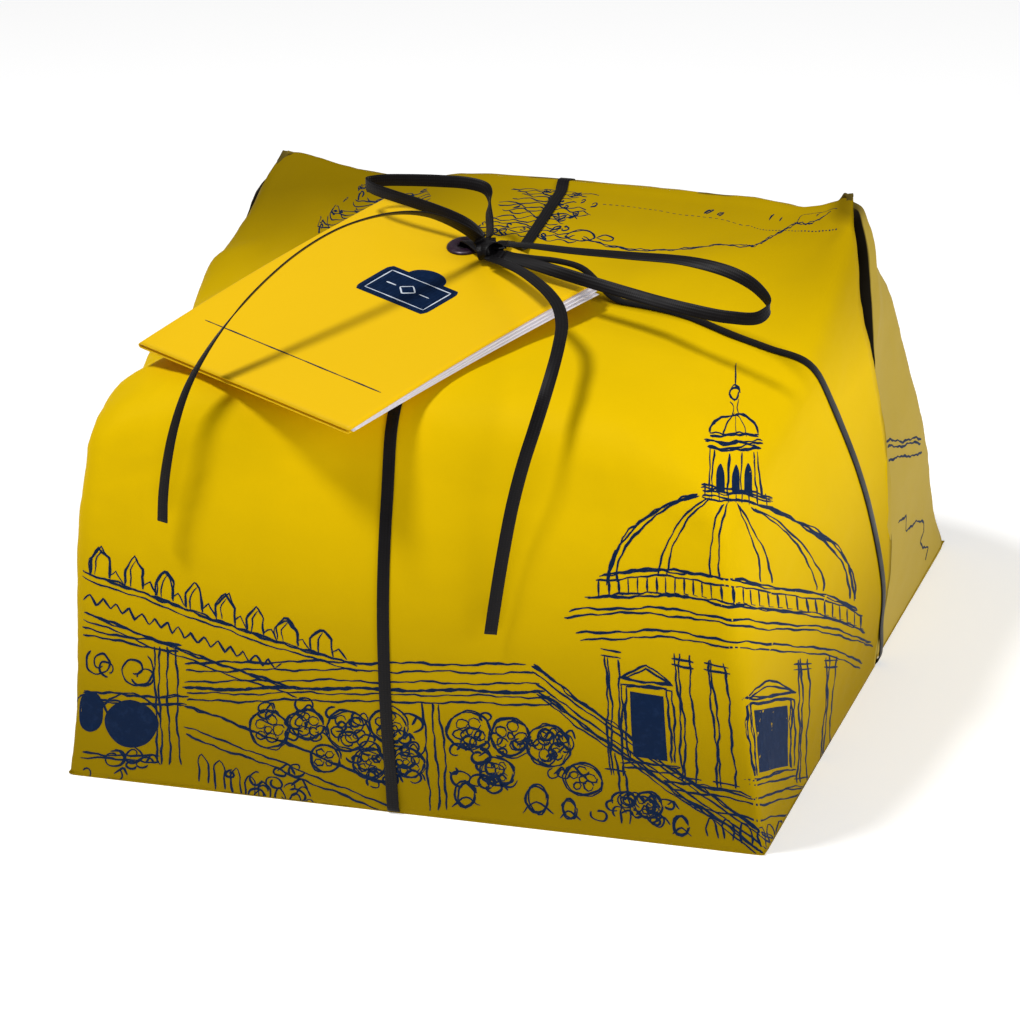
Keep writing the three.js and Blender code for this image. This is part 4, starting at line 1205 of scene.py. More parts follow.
# Lines printed on the back flap at the right side, as (y, z).
FLAP_LINES = (
    ((40, 71), (58, 63.5), (84, 53)), ((41, 68.5), (60, 61), (83, 52)), ((40, 64.5), (60, 57), (85, 47)),
    ((46, 39.5), (58, 36), (56, 32), (72, 27.5), (86, 21.5), (89, 17), (82, 16), (86, 11), (95, 8),
     (90, 5.5)),
)


def build_print(sheet, surface):
    width = bpy.context.scene.panettone_wrap.line / MM
    pen = Pen(board(sheet), width, seed=11)
    for draw in (draw_dome, draw_rails, draw_parapet, draw_balustrade):
        draw(pen)
    top = Pen(flat_sheet(sheet), width, seed=23)
    draw_top(top)

    def flap_place(u, v, lift):
        out = []
        for y, z in zip(u, v):
            point = surface.ray_cast(Vector((0.2, y * MM, z * MM)), Vector((-1, 0, 0)))[0]
            if point is None:
                raise RuntimeError("no back flap under a printed line")
            out.append(np.array(point + Vector((1, 0, 0)) * lift * MM))
        return np.array(out)

    flap = Pen(flap_place, width, seed=5)
    for line in FLAP_LINES:
        flap.line(line, 0.9, step=1.0)
    for extra in (top, flap):
        first = len(pen.vertices)
        pen.vertices += extra.vertices
        pen.faces += [tuple(first + v for v in face) for face in extra.faces]
    finish(pen.mesh("wrap_print", ink_material()), None)


# ------------------------------------------------------------------ ribbon
def strand(points, across, width, thickness):
    """One flat ribbon with rounded edges and its width along across.

    Returns its vertices, its faces, and for each vertex its place along the ribbon and over it.
    """
    half, thin = width / 2, thickness / 2
    points = np.asarray(points, float)
    across = np.broadcast_to(np.asarray(across, float), points.shape)
    along = np.empty_like(points)
    along[1:-1] = points[2:] - points[:-2]
    along[0], along[-1] = points[1] - points[0], points[-1] - points[-2]
    along = unit(along)
    normal = unit(np.cross(along, across))
    side = unit(np.cross(normal, along))
    edge = thin * 0.9
    profile = [(half - edge + edge * math.cos(a), thin * math.sin(a)) for a in np.linspace(-1.57, 1.57, 5)]
    profile += [(edge - half + edge * math.cos(a), thin * math.sin(a)) for a in np.linspace(1.57, 4.71, 5)]
    count = len(profile)
    length = run_lengths(points)
    vertices = [points[i] + side[i] * w + normal[i] * t for i in range(len(points)) for w, t in profile]
    faces = [tuple(range(count - 1, -1, -1)), tuple(range((len(points) - 1) * count, len(points) * count))]
    faces += ring_faces(len(points), count)
    places = [(length[i], w) for i in range(len(points)) for w, t in profile]
    return vertices, faces, places


def ribbon_mesh(name, strands):
    """One piece made of ribbon strands, each a list of points and the way its width faces."""
    settings = bpy.context.scene.panettone_ribbon
    vertices, faces, places = [], [], []
    for points, across in strands:
        more, sides, spots = strand(points, across, settings.width, settings.thickness)
        faces += [tuple(v + len(vertices) for v in face) for face in sides]
        vertices += more
        places += spots
    obj = mesh_object(name, vertices, faces, ribbon_material())
    uv = obj.data.uv_layers.new(name="Ribbon")
    for loop in obj.data.loops:
        uv.data[loop.index].uv = places[loop.vertex_index]
    return obj


def route(points):
    points = np.asarray(points, float) * MM
    return spline(points, np.linspace(0, len(points) - 1, (len(points) - 1) * 8 + 1))


LOOP_RIGHT = (
    (6.2, -14.6, 152.6), (14, -16.5, 153.6), (30, -21.5, 155.2), (50, -25.5, 156.8), (70, -28, 157.6),
    (86, -33, 156.8), (96, -39.5, 154.8), (100.5, -44.5, 151.8), (98, -47.3, 149.2), (88, -46, 147.8),
    (72, -41.5, 147.6), (54, -36.5, 148.6), (36, -31, 149.8), (18, -24.5, 150.8), (6.2, -19.4, 151))
LOOP_LEFT = (
    (-3, -12.2, 152.6), (-8, -8.5, 155), (-15, -7, 157.6), (-26, -4, 159.4), (-37, -0.5, 160.4),
    (-45, 3.5, 160.6), (-48.5, 7.6, 160.6), (-44, 10.4, 160.8), (-36, 11.8, 161), (-26, 13.6, 160.8),
    (-16, 14.6, 160.4), (-10, 13.4, 159.6), (-7.4, 10, 158.4), (-6, 4, 156.6), (-3, -4, 154.6),
    (-0.4, -12.2, 153.4))
TAIL_LEFT = (
    (-2.4, -17, 154.5), (-5, -19.5, 158), (-9, -24.5, 162.8), (-13.5, -31, 167.4), (-19, -39, 170.8),
    (-26, -48.5, 172.4), (-34, -59.5, 171.8), (-42.5, -71, 168), (-50.5, -81.5, 161.6), (-57.5, -90.5, 153.8),
    (-63.5, -98, 145), (-68.5, -104, 135), (-72, -108.5, 123.5), (-74.4, -111.4, 111.5), (-75.8, -113, 101),
    (-76.4, -113.8, 92.4))
TAIL_FRONT = (
    (3.2, -22.3, 150.6), (10, -28.2, 151.8), (17.5, -35.5, 152.9), (25.5, -44.5, 153.6), (32.5, -53, 153.6),
    (38, -61, 152.8), (42, -70.5, 151.2), (44.6, -82, 149.4), (46, -92.5, 146.4), (45.8, -101, 140.6),
    (43.6, -105.8, 131.4), (40.8, -108.8, 121.6), (37.6, -111.6, 108.4), (34.8, -114.2, 93.2),
    (32.5, -116.3, 79), (30.7, -117.6, 67.4))

# Each free stretch of ribbon: its route, the ways its width faces at places along it from 0 to 1,
# and what its far end meets. The ribbon twists between those places.
FREE_RIBBONS = (
    ("bow_loop_right", LOOP_RIGHT, (
        (0, (0.3, 0.95, 0)), (0.3, (0.3, 0.9, 0.35)), (0.42, (0.25, 0.5, 0.8)), (0.5, (0.1, 0.05, 1)),
        (0.58, (0.2, 0.4, 0.9)), (0.72, (0.3, 0.75, 0.75)), (0.86, (0.2, 0.5, 1)),
        (1, (0.3, 0.8, 0.4))), "object"),
    ("bow_loop_left", LOOP_LEFT, (
        (0, (0.2, 0.6, 0.8)), (0.15, (0, 0.1, 1)), (0.45, (0, 0.1, 1)), (0.8, (0.1, 0.5, 0.9)),
        (1, (0.3, 0.7, 0.6))), "object"),
    ("ribbon_tail_left", TAIL_LEFT, (
        (0, (0.83, -0.08, 0.56)), (0.12, (0.6, -0.5, 0.55)), (0.3, (0.27, -0.87, 0.42)),
        (0.56, (0.27, -0.87, 0.42)), (0.74, (0.75, -0.6, 0.2)), (0.86, (0.85, -0.45, 0)),
        (1, (0.93, -0.3, -0.1))), "bare"),
    ("ribbon_tail_front", TAIL_FRONT, (
        (0, (0.5, 0.7, 0)), (0.2, (0.6, 0.75, 0.1)), (0.42, (0.8, 0.5, 0.1)), (0.6, (0.9, 0.35, 0.1)),
        (1, (0.9, 0.43, 0))), "bare"),
)


def twist(path, facings):
    """Width directions at every point of a path, turned smoothly between the given places."""
    length = run_lengths(path)
    places = [place for place, facing in facings]
    ways = unit(np.array([facing for place, facing in facings], float))
    return unit(np.stack([np.interp(length / length[-1], places, ways[:, k]) for k in range(3)], axis=1))


def build_free_ribbons():
    for name, points, facings, far_end in FREE_RIBBONS:
        path = route(points)
        piece = ribbon_mesh(name.replace("ribbon_", "") + "_ribbon", [(path, twist(path, facings))])
        finish(piece, name)


# Heights of the ties under the base, alone and where they cross, and over the paper; the way up
# through the eyelet; and the middle of the knot.
BAND_HEIGHT = 0.6
CROSSING_HEIGHT = 1.85
BAND_LIFT = 0.32 * MM
EYELET_PASS = ((-10.6, -14.2, 140.2), (-11, -10.6, 141.2), (-11.3, -9.3, 143.6), (-11, -9, 148))
KNOT_CENTRE = (0.3, -17, 151.1)


def settle(surface, target, direction):
    """Where a ribbon lies on the paper: found by pushing inward from far outside."""
    inward = Vector(direction).normalized()
    start = Vector(target) * MM - inward * 0.3
    point = surface.ray_cast(start, inward)[0]
    if point is None:
        raise RuntimeError(f"no paper under the ribbon at {target}")
    return np.array(point - inward * BAND_LIFT)


def smooth_route(points):
    """Evens out a laid route a little, without moving its ends."""
    points = np.array(points, float)
    points[1:-1] += ((points[:-2] + points[2:]) / 2 - points[1:-1]) * 0.12
    return points


def lay(surface, places):
    """A route of places settled on the paper: each is a target and the way it is pressed."""
    return [settle(surface, target, direction) for target, direction in places]


def round_base(corner, outward, flare):
    """Turns a tie under the base at a point of its edge."""
    steps = ((1 + flare, 6), (1 + flare / 2, 2.4), (0.75, 1.2), (0.1, 0.62), (-2, BAND_HEIGHT),
             (-8, BAND_HEIGHT))
    return in_metres((corner[0] + outward[0] * out, corner[1] + outward[1] * out, z) for out, z in steps)


def build_front_back_band(surface):
    """Over the top, down the back, under the base and up the front."""
    start = [(2.5, -12.2, 150.8), (2.5, -6.5, 150.1), (2.6, -1, 148), (2.6, 5, 142.8)]
    top = [((2.5, y, 140), (0, 0, -1)) for y in (12, 24, 36, 46, 53)]
    ridge = [((1.5, 57.5, 142), (0, 0.25, -1)), ((1.2, 61, 142), (0, -0.35, -1)),
             ((1, 64, 138), (0, -1, -0.7))]
    back = [((1, 70, z), (0, -1, -0.5)) for z in (141, 137.5, 134, 131)]
    back += [((TIE_BELOW_X + z * 6 / 128, 70, z), (0, -1, -0.3))
             for z in (128, 123, 118, 108, 98, 84, 70, 54, 38, 24, 12)]
    front = [((TIE_BELOW_X, -100, z), (0, 1, -0.15)) for z in (12, 26, 40, 54, 68, 82, 94, 104, 112, 119)]
    crest = [((TIE_BELOW_X, y, z), (0, dy, dz)) for y, z, dy, dz in (
        (-92, 124, 0.7, -0.4), (-90, 128, 0.7, -0.7), (-86, 130, 0.4, -1), (-78, 132, 0.15, -1))]
    over = [((-7, y, 135), (0, 0, -1)) for y in (-66, -54, -42, -32, -23)]
    points = in_metres(start)
    points += lay(surface, top + ridge + back)
    points += round_base((TIE_BELOW_X, 115), (0, 1), 0)
    points += in_metres((TIE_BELOW_X, y, BAND_HEIGHT) for y in (60, 0, -60))
    points += round_base((TIE_BELOW_X, -115), (0, -1), 0)[::-1]
    points += lay(surface, front + crest + over)
    points += in_metres(EYELET_PASS)
    return ribbon_mesh("front_back_band", [(thread(points, surface), (1, 0, 0))])


def build_side_band(surface):
    """From the knot down the right side, under the base and up the left side to the tag."""
    start = [(6.1, -15.6, 149.6), (14, -15.8, 149.2), (24, -16.2, 149.1), (32, -16.4, 147.6)]
    over = [((x, y, 136), (0, 0, -1)) for x, y in (
        (42, -17.5), (52, -18.5), (62, -20), (76, -21.5), (84, -22.5), (91, -23.5))]
    right = [((x - 10, y, z), (slope, 0, -1)) for x, y, z, slope in (
        (104, -24, 124, -0.5), (107, -22, 117, -1), (110, -18, 108, -3), (113, -12, 96, -6),
        (115, -7, 84, -9), (116, -2, 70, -9), (117, 3, 56, -9), (117, 8, 42, -9), (116, 13, 28, -9),
        (115, 17, 14, -9))]
    left = [((-110, y, z), (1, 0, -0.12)) for y, z in (
        (-12.5, 14), (-14.5, 28), (-17.5, 42), (-21, 56), (-25, 70), (-29, 84), (-32.5, 96), (-35.5, 106),
        (-36.8, 111))]
    shoulder = [((x, -37 + 0.3 * (x + 107), z), (slope, 0, -1)) for x, z, slope in (
        (-107, 115, 1), (-105, 118, 0.9), (-103, 121, 0.8), (-100, 124, 0.6), (-96, 127, 0.4),
        (-88, 130, 0.1), (-81, 132, 0), (-74, 134, 0), (-58, 136, 0), (-42, 137, 0), (-28, 138, 0))]
    points = in_metres(start)
    points += lay(surface, over) + lay(surface, right)
    below = [TIE_BELOW_Y + x * TIE_BELOW_SLOPE for x in (115, -115)]
    points += round_base((115, below[0]), (1, 0), 1.2)
    for x, z in ((60, BAND_HEIGHT), (10.5, BAND_HEIGHT), (5.5, CROSSING_HEIGHT), (-5.5, CROSSING_HEIGHT),
                 (-10.5, BAND_HEIGHT), (-60, BAND_HEIGHT)):
        x += TIE_BELOW_X
        points.append(np.array([x, TIE_BELOW_Y + x * TIE_BELOW_SLOPE, z]) * MM)
    points += round_base((-115, below[1]), (-1, 0), 0.5)[::-1]
    points += lay(surface, left + shoulder)
    points += in_metres(((-20.5, -10.5, 140.4), (-15.5, -9, 141)))
    return ribbon_mesh("side_band", [(thread(points, surface), (0, 1, 0))])


def thread(points, surface):
    """A fine smooth line through settled points, kept clear of the paper."""
    points = smooth_route(points)
    line = spline(points, np.linspace(0, len(points) - 1, (len(points) - 1) * 6 + 1))
    for _ in range(3):
        for k in range(1, len(line) - 1):
            spot, normal = surface.find_nearest(Vector(line[k]))[:2]
            clear = (Vector(line[k]) - spot).dot(normal)
            if line[k][2] > 8 * MM and -6 * MM < clear < BAND_LIFT:
                line[k] += np.array(normal) * (BAND_LIFT - clear)
        line[1:-1] += ((line[:-2] + line[2:]) / 2 - line[1:-1]) * 0.3
    return line


def build_knot():
    """The bow's knot: two turns of ribbon round the meeting strands, and the strands inside it."""
    centre = np.array(KNOT_CENTRE)
    strands = []
    for tilt, radius_y, radius_z, shift in ((0.35, 3.3, 2.5, -1.3), (-0.5, 3.6, 2.8, 1.2)):
        axis = np.array([math.cos(tilt), math.sin(tilt), 0.1])
        flat = unit(np.cross((0, 0, 1), axis))
        up = unit(np.cross(axis, flat))
        turn = np.linspace(0.3, 2 * math.pi + 0.9, 44)
        ring = [centre + axis * (shift + 0.9 * (a / 6.3 - 0.5)) + flat * math.cos(a) * radius_y
                + up * math.sin(a) * radius_z for a in turn]
        strands.append((np.array(ring) * MM, axis))
    for points, across in (
            (((-2.4, -17, 154.5), (-1.4, -16.6, 152.2), (1.5, -18, 150.4), (3.2, -22.3, 150.6)),
             (0.8, 0.5, 0)),
            (((-3, -12.2, 152.6), (0, -14.2, 151.6), (3, -14.8, 152), (6.2, -14.6, 152.6)), (0.1, 0.9, 0.3)),
            (((-0.4, -12.2, 153.4), (1, -15, 150.6), (3.4, -18, 150.2), (6.2, -19.4, 151)), (0.3, 0.8, 0.4)),
            (((2.5, -12.2, 150.8), (2.2, -16, 150), (3.6, -16.2, 149.4), (6.1, -15.6, 149.6)), (0.7, 0.7, 0)),
            (((-10.4, -7.4, 145.8), (-10.2, -7.7, 148.8), (-9.2, -9.4, 150.5), (-6.4, -12, 151),
              (-2.4, -15.2, 150.4), (0.6, -17, 150)), (0.9, 0.42, 0))):
        strands.append((route(points), across))
    return ribbon_mesh("knot", strands)


# ------------------------------------------------------------------ the booklet tag
# The cover's size in mm, its upper left corner, where its left edge leads, and the ways across it,
# down it and out of it. Then the place of the eyelet on it and the radius of its hole, the gap between
# leaves, how far the foot droops, and the rear cover's number among the leaves.
TAG_WIDE = 95
TAG_LONG = 109
TAG_CORNER = np.array([-47, 19, 151.2])
TAG_EDGE = np.array([-48, -98, -10.5])
TAG_ACROSS = unit((87, -43, -4.5))
TAG_DOWN = unit(TAG_EDGE - np.dot(TAG_EDGE, TAG_ACROSS) * TAG_ACROSS)
TAG_NORMAL = -np.cross(TAG_ACROSS, TAG_DOWN)
EYELET_ACROSS, EYELET_DOWN, EYELET_RADIUS = 45.5, 8.5, 2.9
LEAF_GAP = 0.62
DROOP = 5.2
LAST_LEAF = 4


def tag_point(x, y, height):
    return (TAG_CORNER + TAG_ACROSS * x + TAG_DOWN * y + TAG_NORMAL * height) * MM


def eyelet_point(x, y, height):
    return tag_point(EYELET_ACROSS + x, EYELET_DOWN + y, height)


def leaf_height(leaf, x, y):
    """Leaves lie close at the fold and the foot, and stand apart at the open edge's upper end."""
    foot = min(max(y / TAG_LONG, 0), 1)
    spread = 1 - 0.45 * foot + 0.55 * (x / TAG_WIDE) ** 1.6 * (1 - foot) ** 0.7
    droop = DROOP * foot ** 2.0 * (1 - 0.2 * x / TAG_WIDE) + 1.1 * (x / TAG_WIDE) ** 2 * (1 - foot)
    return -droop - LEAF_GAP * leaf * spread


def leaf_mesh(name, sections, material, thickness, inset=0.0):
    """A leaf swept down the tag: sections gives, for each row, its points across as (x, height)."""
    rows = 50
    vertices = []
    for j in range(rows + 1):
        y = inset + (TAG_LONG - 2 * inset) * j / rows
        line = sections(y)
        vertices += [tag_point(x, y, height) for x, height in line]
    leaf = mesh_object(name, vertices, patch_faces(rows + 1, len(line)), material)
    thicken(leaf, "Leaf thickness", thickness, 0)
    return leaf


def punch(piece):
    """Cuts the hole of the eyelet."""
    sides = 48
    vertices = turn_points([(EYELET_RADIUS, -6), (EYELET_RADIUS, 4)], sides, eyelet_point)
    faces = [face[::-1] for face in ring_faces(2, sides)]
    faces += [tuple(range(sides)), tuple(range(2 * sides - 1, sides - 1, -1))]
    cutter = mesh_object("punch", vertices, faces, smooth=False)
    for modifier in list(piece.modifiers):
        apply(piece, modifier)
    hole = piece.modifiers.new("Hole", "BOOLEAN")
    hole.operation, hole.object, hole.solver = "DIFFERENCE", cutter, "EXACT"
    apply(piece, hole)
    bpy.data.objects.remove(cutter)


def apply(piece, modifier):
    select(piece)
    bpy.ops.object.modifier_apply(modifier=modifier.name)


def build_tag():
    settings = bpy.context.scene.panettone_tag
    cover_card = paper_material("Cover card", settings.colour, 0.25, 0.5, 0.14, 0.12, shade=0.9)
    page_paper = paper_material("Page paper", settings.page_colour, 0.3, 0.6, 0.3, 0.2, shade=0.9)

    def cover_line(y):
        bend = (leaf_height(0, 0, y) - leaf_height(LAST_LEAF, 0, y)) / 2
        top = [(x, leaf_height(0, x, y)) for x in np.linspace(TAG_WIDE, bend, 44)]
        middle = leaf_height(0, bend, y) - bend
        spine = [(bend - bend * math.sin(a), middle + bend * math.cos(a))
                 for a in np.linspace(0.2, math.pi - 0.2, 9)]
        bottom = [(x, leaf_height(LAST_LEAF, x, y)) for x in np.linspace(bend, TAG_WIDE - 0.8, 44)]
        return top + spine + bottom

    cover = leaf_mesh("booklet_cover", cover_line, cover_card, 0.4 * MM)
    punch(cover)
    finish(cover, "tag_cover")
    for page in range(1, settings.pages + 1):
        def page_line(y, page=page):
            fan = 0.75 * page * (1 - y / TAG_LONG) + 0.2
            return [(x + fan * x / TAG_WIDE, leaf_height(page, x, y))
                    for x in np.linspace(1.6, TAG_WIDE - 0.1, 40)]

        leaf = leaf_mesh(f"booklet_leaf_{page}", page_line, page_paper, 0.25 * MM, inset=1.6)
        punch(leaf)
        finish(leaf, f"tag_page_{page}")


# A rounded plaque with a small arch on it, as (left, right, upper, lower) on the cover, and a thin rule.
PLAQUE = (35.4, 65.9, 31.2, 48)
ARCH_WIDE, ARCH_TALL = 7.5, 5.0
RULE_DOWN, RULE_ENDS = 88.5, (9, 88)
PALE_INK, PALE_INK_SHADE = (0.62, 0.68, 0.76), (0.5, 0.56, 0.66)


def build_tag_print():
    """A plain dark plaque with a pale inner line, and a rule across the foot of the cover."""
    def cover_place(u, v, lift):
        return np.array([tag_point(x, -y, leaf_height(0, x, -y) + 0.25 + up)
                         for x, y, up in zip(u, v, np.broadcast_to(lift, np.shape(u)))])

    pen = Pen(cover_place, 0.5, seed=3, proud=0.04, shake=0.02)
    left, right, upper, lower = PLAQUE
    middle = (left + right) / 2
    rows = np.linspace(upper, lower, 12)
    nick = [1.2 * math.exp(-(y - upper) ** 2) + 1.2 * math.exp(-(lower - y) ** 2) for y in rows]
    pen.fill([(right - n, -y) for n, y in zip(nick, rows)], [(left + n, -y) for n, y in zip(nick, rows)])
    turns = np.linspace(0, math.pi / 2, 10)
    pen.fill([(middle + ARCH_WIDE * math.cos(a), -upper + ARCH_TALL * math.sin(a) - 0.1) for a in turns],
             [(middle - ARCH_WIDE * math.cos(a), -upper + ARCH_TALL * math.sin(a) - 0.1) for a in turns])
    pen.line([(RULE_ENDS[0], -RULE_DOWN), (RULE_ENDS[1], -RULE_DOWN)], 0.8, step=2)
    finish(pen.mesh("cover_print", ink_material()), None)
    light = Pen(cover_place, 0.5, seed=4, proud=0.09, shake=0.02)
    high = -(upper + lower) / 2
    frame_x, frame_y = (right - left) / 2 - 2.2, (lower - upper) / 2 - 2.2
    corners = [(middle + i * frame_x, high + j * frame_y)
               for i, j in ((-1, -1), (1, -1), (1, 1), (-1, 1), (-1, -1))]
    for a, b in zip(corners[:-1], corners[1:]):
        light.line([a, b], 0.7, step=1)
    diamond = [(middle + i * 3.4, high + j * 2.6) for i, j in ((-1, 0), (0, 1), (1, 0), (0, -1), (-1, 0))]
    light.line(diamond, 0.9, step=0.8)
    for side in (-1, 1):
        light.line([(middle + side * 5.2, high), (middle + side * 9.4, high)], 0.9, step=0.8)
    pale = paper_material("Pale ink", PALE_INK, 0.3, 0.5, 0.3, 0.1, shade=PALE_INK_SHADE)
    finish(light.mesh("cover_border", pale), None)


def lacquer_material():
    """Dark enamelled metal of the eyelet, rubbed paler in places."""
    material, tree, shader = new_material("Eyelet enamel", 0.32, 0.5)
    shader.inputs["Metallic"].default_value = 0.35
    rub = noise_node(tree, object_place(tree), 700, 4, 0.6)
    worn = map_range(tree, rub, 0.55, 0.8, 0, 0.7)
    tree.links.new(
        mix_colour(tree, worn, (0.030, 0.012, 0.026, 1), (0.11, 0.06, 0.09, 1)), shader.inputs["Base Color"])
    tree.links.new(map_range(tree, rub, 0.3, 0.7, 0.25, 0.42), shader.inputs["Roughness"])
    bump(tree, shader, rub, 0.2, 0.05 * MM)
    return material


def build_eyelet():
    enamel = lacquer_material()
    hole, rim = EYELET_RADIUS - 0.7, 6.0
    top = leaf_height(0, EYELET_ACROSS, EYELET_DOWN) + 0.25
    low = leaf_height(LAST_LEAF, EYELET_ACROSS, EYELET_DOWN) - 0.25
    crown = [(rim, top), (rim - 0.05, top + 0.35), (rim - 0.5, top + 0.75), (rim - 1.4, top + 1.0),
             (hole + 1.0, top + 0.95), (hole + 0.3, top + 0.6), (hole, top), (hole, low + 0.2),
             (hole + 0.28, low + 0.2), (hole + 0.28, top)]
    finish(turned("eyelet_barrel", crown, enamel, 64, place=eyelet_point), "tag_eyelet")
    back = [(hole, low), (rim - 1.2, low), (rim - 1.0, low - 0.2), (rim - 1.3, low - 0.5),
            (hole + 0.5, low - 0.55), (hole, low - 0.3)]
    finish(turned("eyelet_back", back[::-1], enamel, 64, place=eyelet_point), "tag_eyelet_washer")


# ------------------------------------------------------------------ what the paper holds
# The loaf's crown, as (radius, height) in mm, and the bumps of its crust, as (bumps to a mm, height).
LOAF_CROWN = ((102, 84), (101, 95), (96, 108), (86, 117), (68, 124), (44, 128.5), (20, 130.3), (0.4, 130.6))
LOAF_BUMPS = ((0.045, 0.9), (0.12, 0.45), (0.4, 0.2))
# The case in mm: its radius outside and inside, its underside and its rim. Then its pleats.
CASE_OUTER, CASE_INNER, CASE_LOW, CASE_HIGH = 104, 103.2, 6.9, 76.7
PLEATS = 120
CASE_BROWN, TIE_GOLD, BOARD_GREY = (0.16, 0.075, 0.035), (0.55, 0.43, 0.20), (0.34, 0.29, 0.23)
NECK_RADIUS, NECK_HEIGHT = 5.5, 135.2


def crust_material():
    """Baked crust: golden at the sides, browner on the crown, with fine blisters."""
    material, tree, shader = new_material("Baked crust", 0.55, 0.35)
    place = object_place(tree)
    patches = noise_node(tree, place, 34, 6, 0.6)
    blister = noise_node(tree, place, 260, 5, 0.65)
    height = tree.nodes.new("ShaderNodeSeparateXYZ")
    tree.links.new(place, height.inputs["Vector"])
    crown = map_range(tree, height.outputs["Z"], 80 * MM, 128 * MM, 0, 1)
    side = mix_colour(tree, crown, (0.42, 0.20, 0.055, 1), (0.17, 0.055, 0.014, 1))
    spots = map_range(tree, patches, 0.4, 0.7, 0, 0.7)
    tree.links.new(mix_colour(tree, spots, side, (0.10, 0.030, 0.009, 1)), shader.inputs["Base Color"])
    tree.links.new(map_range(tree, blister, 0.3, 0.7, 0.42, 0.68), shader.inputs["Roughness"])
    bump(tree, shader, blister, 0.6, 0.6 * MM)
    return material


def build_loaf():
    crown = spline(np.array(LOAF_CROWN, float), np.linspace(0, len(LOAF_CROWN) - 1, 60))
    profile = [(0.4, 7.9), (60, 7.9), (98, 7.9), (102, 8.6), (102.7, 12)]
    profile += [(102.7, z) for z in range(18, 80, 6)]
    profile += list(crown)

    def crusted(radius, height, angle):
        x, y = radius * math.cos(angle), radius * math.sin(angle)
        spot = Vector((x, y, height))
        bumpy = sum(noise.noise(spot * scale) * tall for scale, tall in LOAF_BUMPS)
        free = float(ease(height, 76, 92))
        score = math.exp(-((abs(x) - abs(y)) / 5.0) ** 2) * float(ease(-radius, -66, -40)) * 2.6
        radius_cut = free * (0.9 + 0.8 * bumpy) * min(1, radius / 40)
        return radius - radius_cut, height - free * (0.4 + 0.5 * bumpy + score)

    loaf = turned("sweet_loaf", profile, crust_material(), 200, crusted, closed=False)
    finish(loaf, "panettone_loaf")


def build_case():
    """The baking case: a pleated wall of waxed paper with a cut edge."""
    waxed = paper_material("Waxed baking paper", CASE_BROWN, 0.5, 0.38, 0.5, 0.3, shade=0.6)
    profile = [(CASE_INNER, CASE_HIGH)]
    profile += [(CASE_OUTER, z) for z in np.linspace(CASE_HIGH, CASE_LOW + 0.6, 14)]
    profile += [(CASE_OUTER - 1.5, CASE_LOW), (60, CASE_LOW), (0.4, CASE_LOW), (0.4, CASE_LOW + 0.7),
                (60, CASE_LOW + 0.7), (CASE_INNER, CASE_LOW + 0.9)]

    def pleat(radius, height, angle):
        if radius > CASE_OUTER - 0.1:
            radius -= 0.4 * (0.5 + 0.5 * math.cos(PLEATS * angle))
        if height > CASE_HIGH - 0.1:
            height -= 0.9 * (0.5 + 0.5 * math.cos(PLEATS / 2 * angle))
        return radius, height

    finish(turned("pleated_case", profile, waxed, 480, pleat), "baking_case")


def film_material():
    """Clear food film with soft crinkles."""
    material, tree, shader = new_material("Clear film", 0.08, 0.5)
    shader.inputs["Base Color"].default_value = (0.97, 0.98, 1.0, 1)
    shader.inputs["Transmission Weight"].default_value = 1.0
    shader.inputs["IOR"].default_value = 1.46
    crinkle = noise_node(tree, object_place(tree), 90, 4, 0.5)
    tree.links.new(map_range(tree, crinkle, 0.3, 0.7, 0.05, 0.16), shader.inputs["Roughness"])
    bump(tree, shader, crinkle, 0.35, 0.5 * MM)
    return material


# (radius, height) in mm, from the middle of the underside to the mouth past the tied neck.
BAG_PROFILE = (
    (0.4, 6.1), (60, 6.1), (100, 6.2), (104.2, 7.5), (104.6, 20), (104.6, 50), (104.5, 78), (103.6, 92),
    (99, 107), (88, 118.4), (69, 125.4), (45, 129.8), (22, 131.7), (9, 132.5), (5, 133.6), (4.5, 135.2),
    (5.3, 136.4), (7.2, 137.1))


def build_bag():
    """The food bag, drawn in pleats to its tied neck."""
    points = spline(np.array(BAG_PROFILE, float), np.linspace(0, len(BAG_PROFILE) - 1, 110))

    def gather(radius, height, angle):
        drawn = float(ease(-radius, -92, -12)) * float(ease(height, 118, 128))
        fold = 0.5 - 0.5 * math.cos(26 * angle + 0.6 * math.sin(3 * angle))
        near = float(ease(-radius, -14, -6))
        radius += 0.9 * near * (fold - 0.4) * float(ease(height, 130, 133))
        return radius, height + drawn * (0.35 * fold) * (1 - near)

    bag = turned("food_bag", points, film_material(), 312, gather, closed=False)
    thicken(bag, "Film thickness", 0.06 * MM, -1)
    finish(bag, "film_bag")


def build_bag_tie():
    """A paper-covered wire twisted round the neck of the bag."""
    gold = paper_material("Tie paper", TIE_GOLD, 0.4, 0.35, 0.5, 0.2, shade=0.6)
    turn = np.linspace(0, 2 * math.pi, 90)
    ring = [NECK_RADIUS * np.cos(turn), NECK_RADIUS * np.sin(turn), NECK_HEIGHT + 0 * turn]
    ring = np.stack(ring, axis=1) * MM
    vertices, faces, _ = strand(ring[:-1], np.array((0, 0, 1)), 1.4 * MM, 0.7 * MM)
    finish(mesh_object("wire_tie", vertices, faces, gold), "bag_tie")


def finish_board():
    """The card base keeps its CAD shape and takes a grey board finish."""
    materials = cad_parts["base_board"].data.materials
    materials.clear()
    materials.append(paper_material("Grey board", BOARD_GREY, 0.5, 0.8, 0.2, 0.6, shade=0.75))


# ------------------------------------------------------------------ operators
# The folded sheet and its surface, kept for the operators that lay something on it.
SHEET = {}


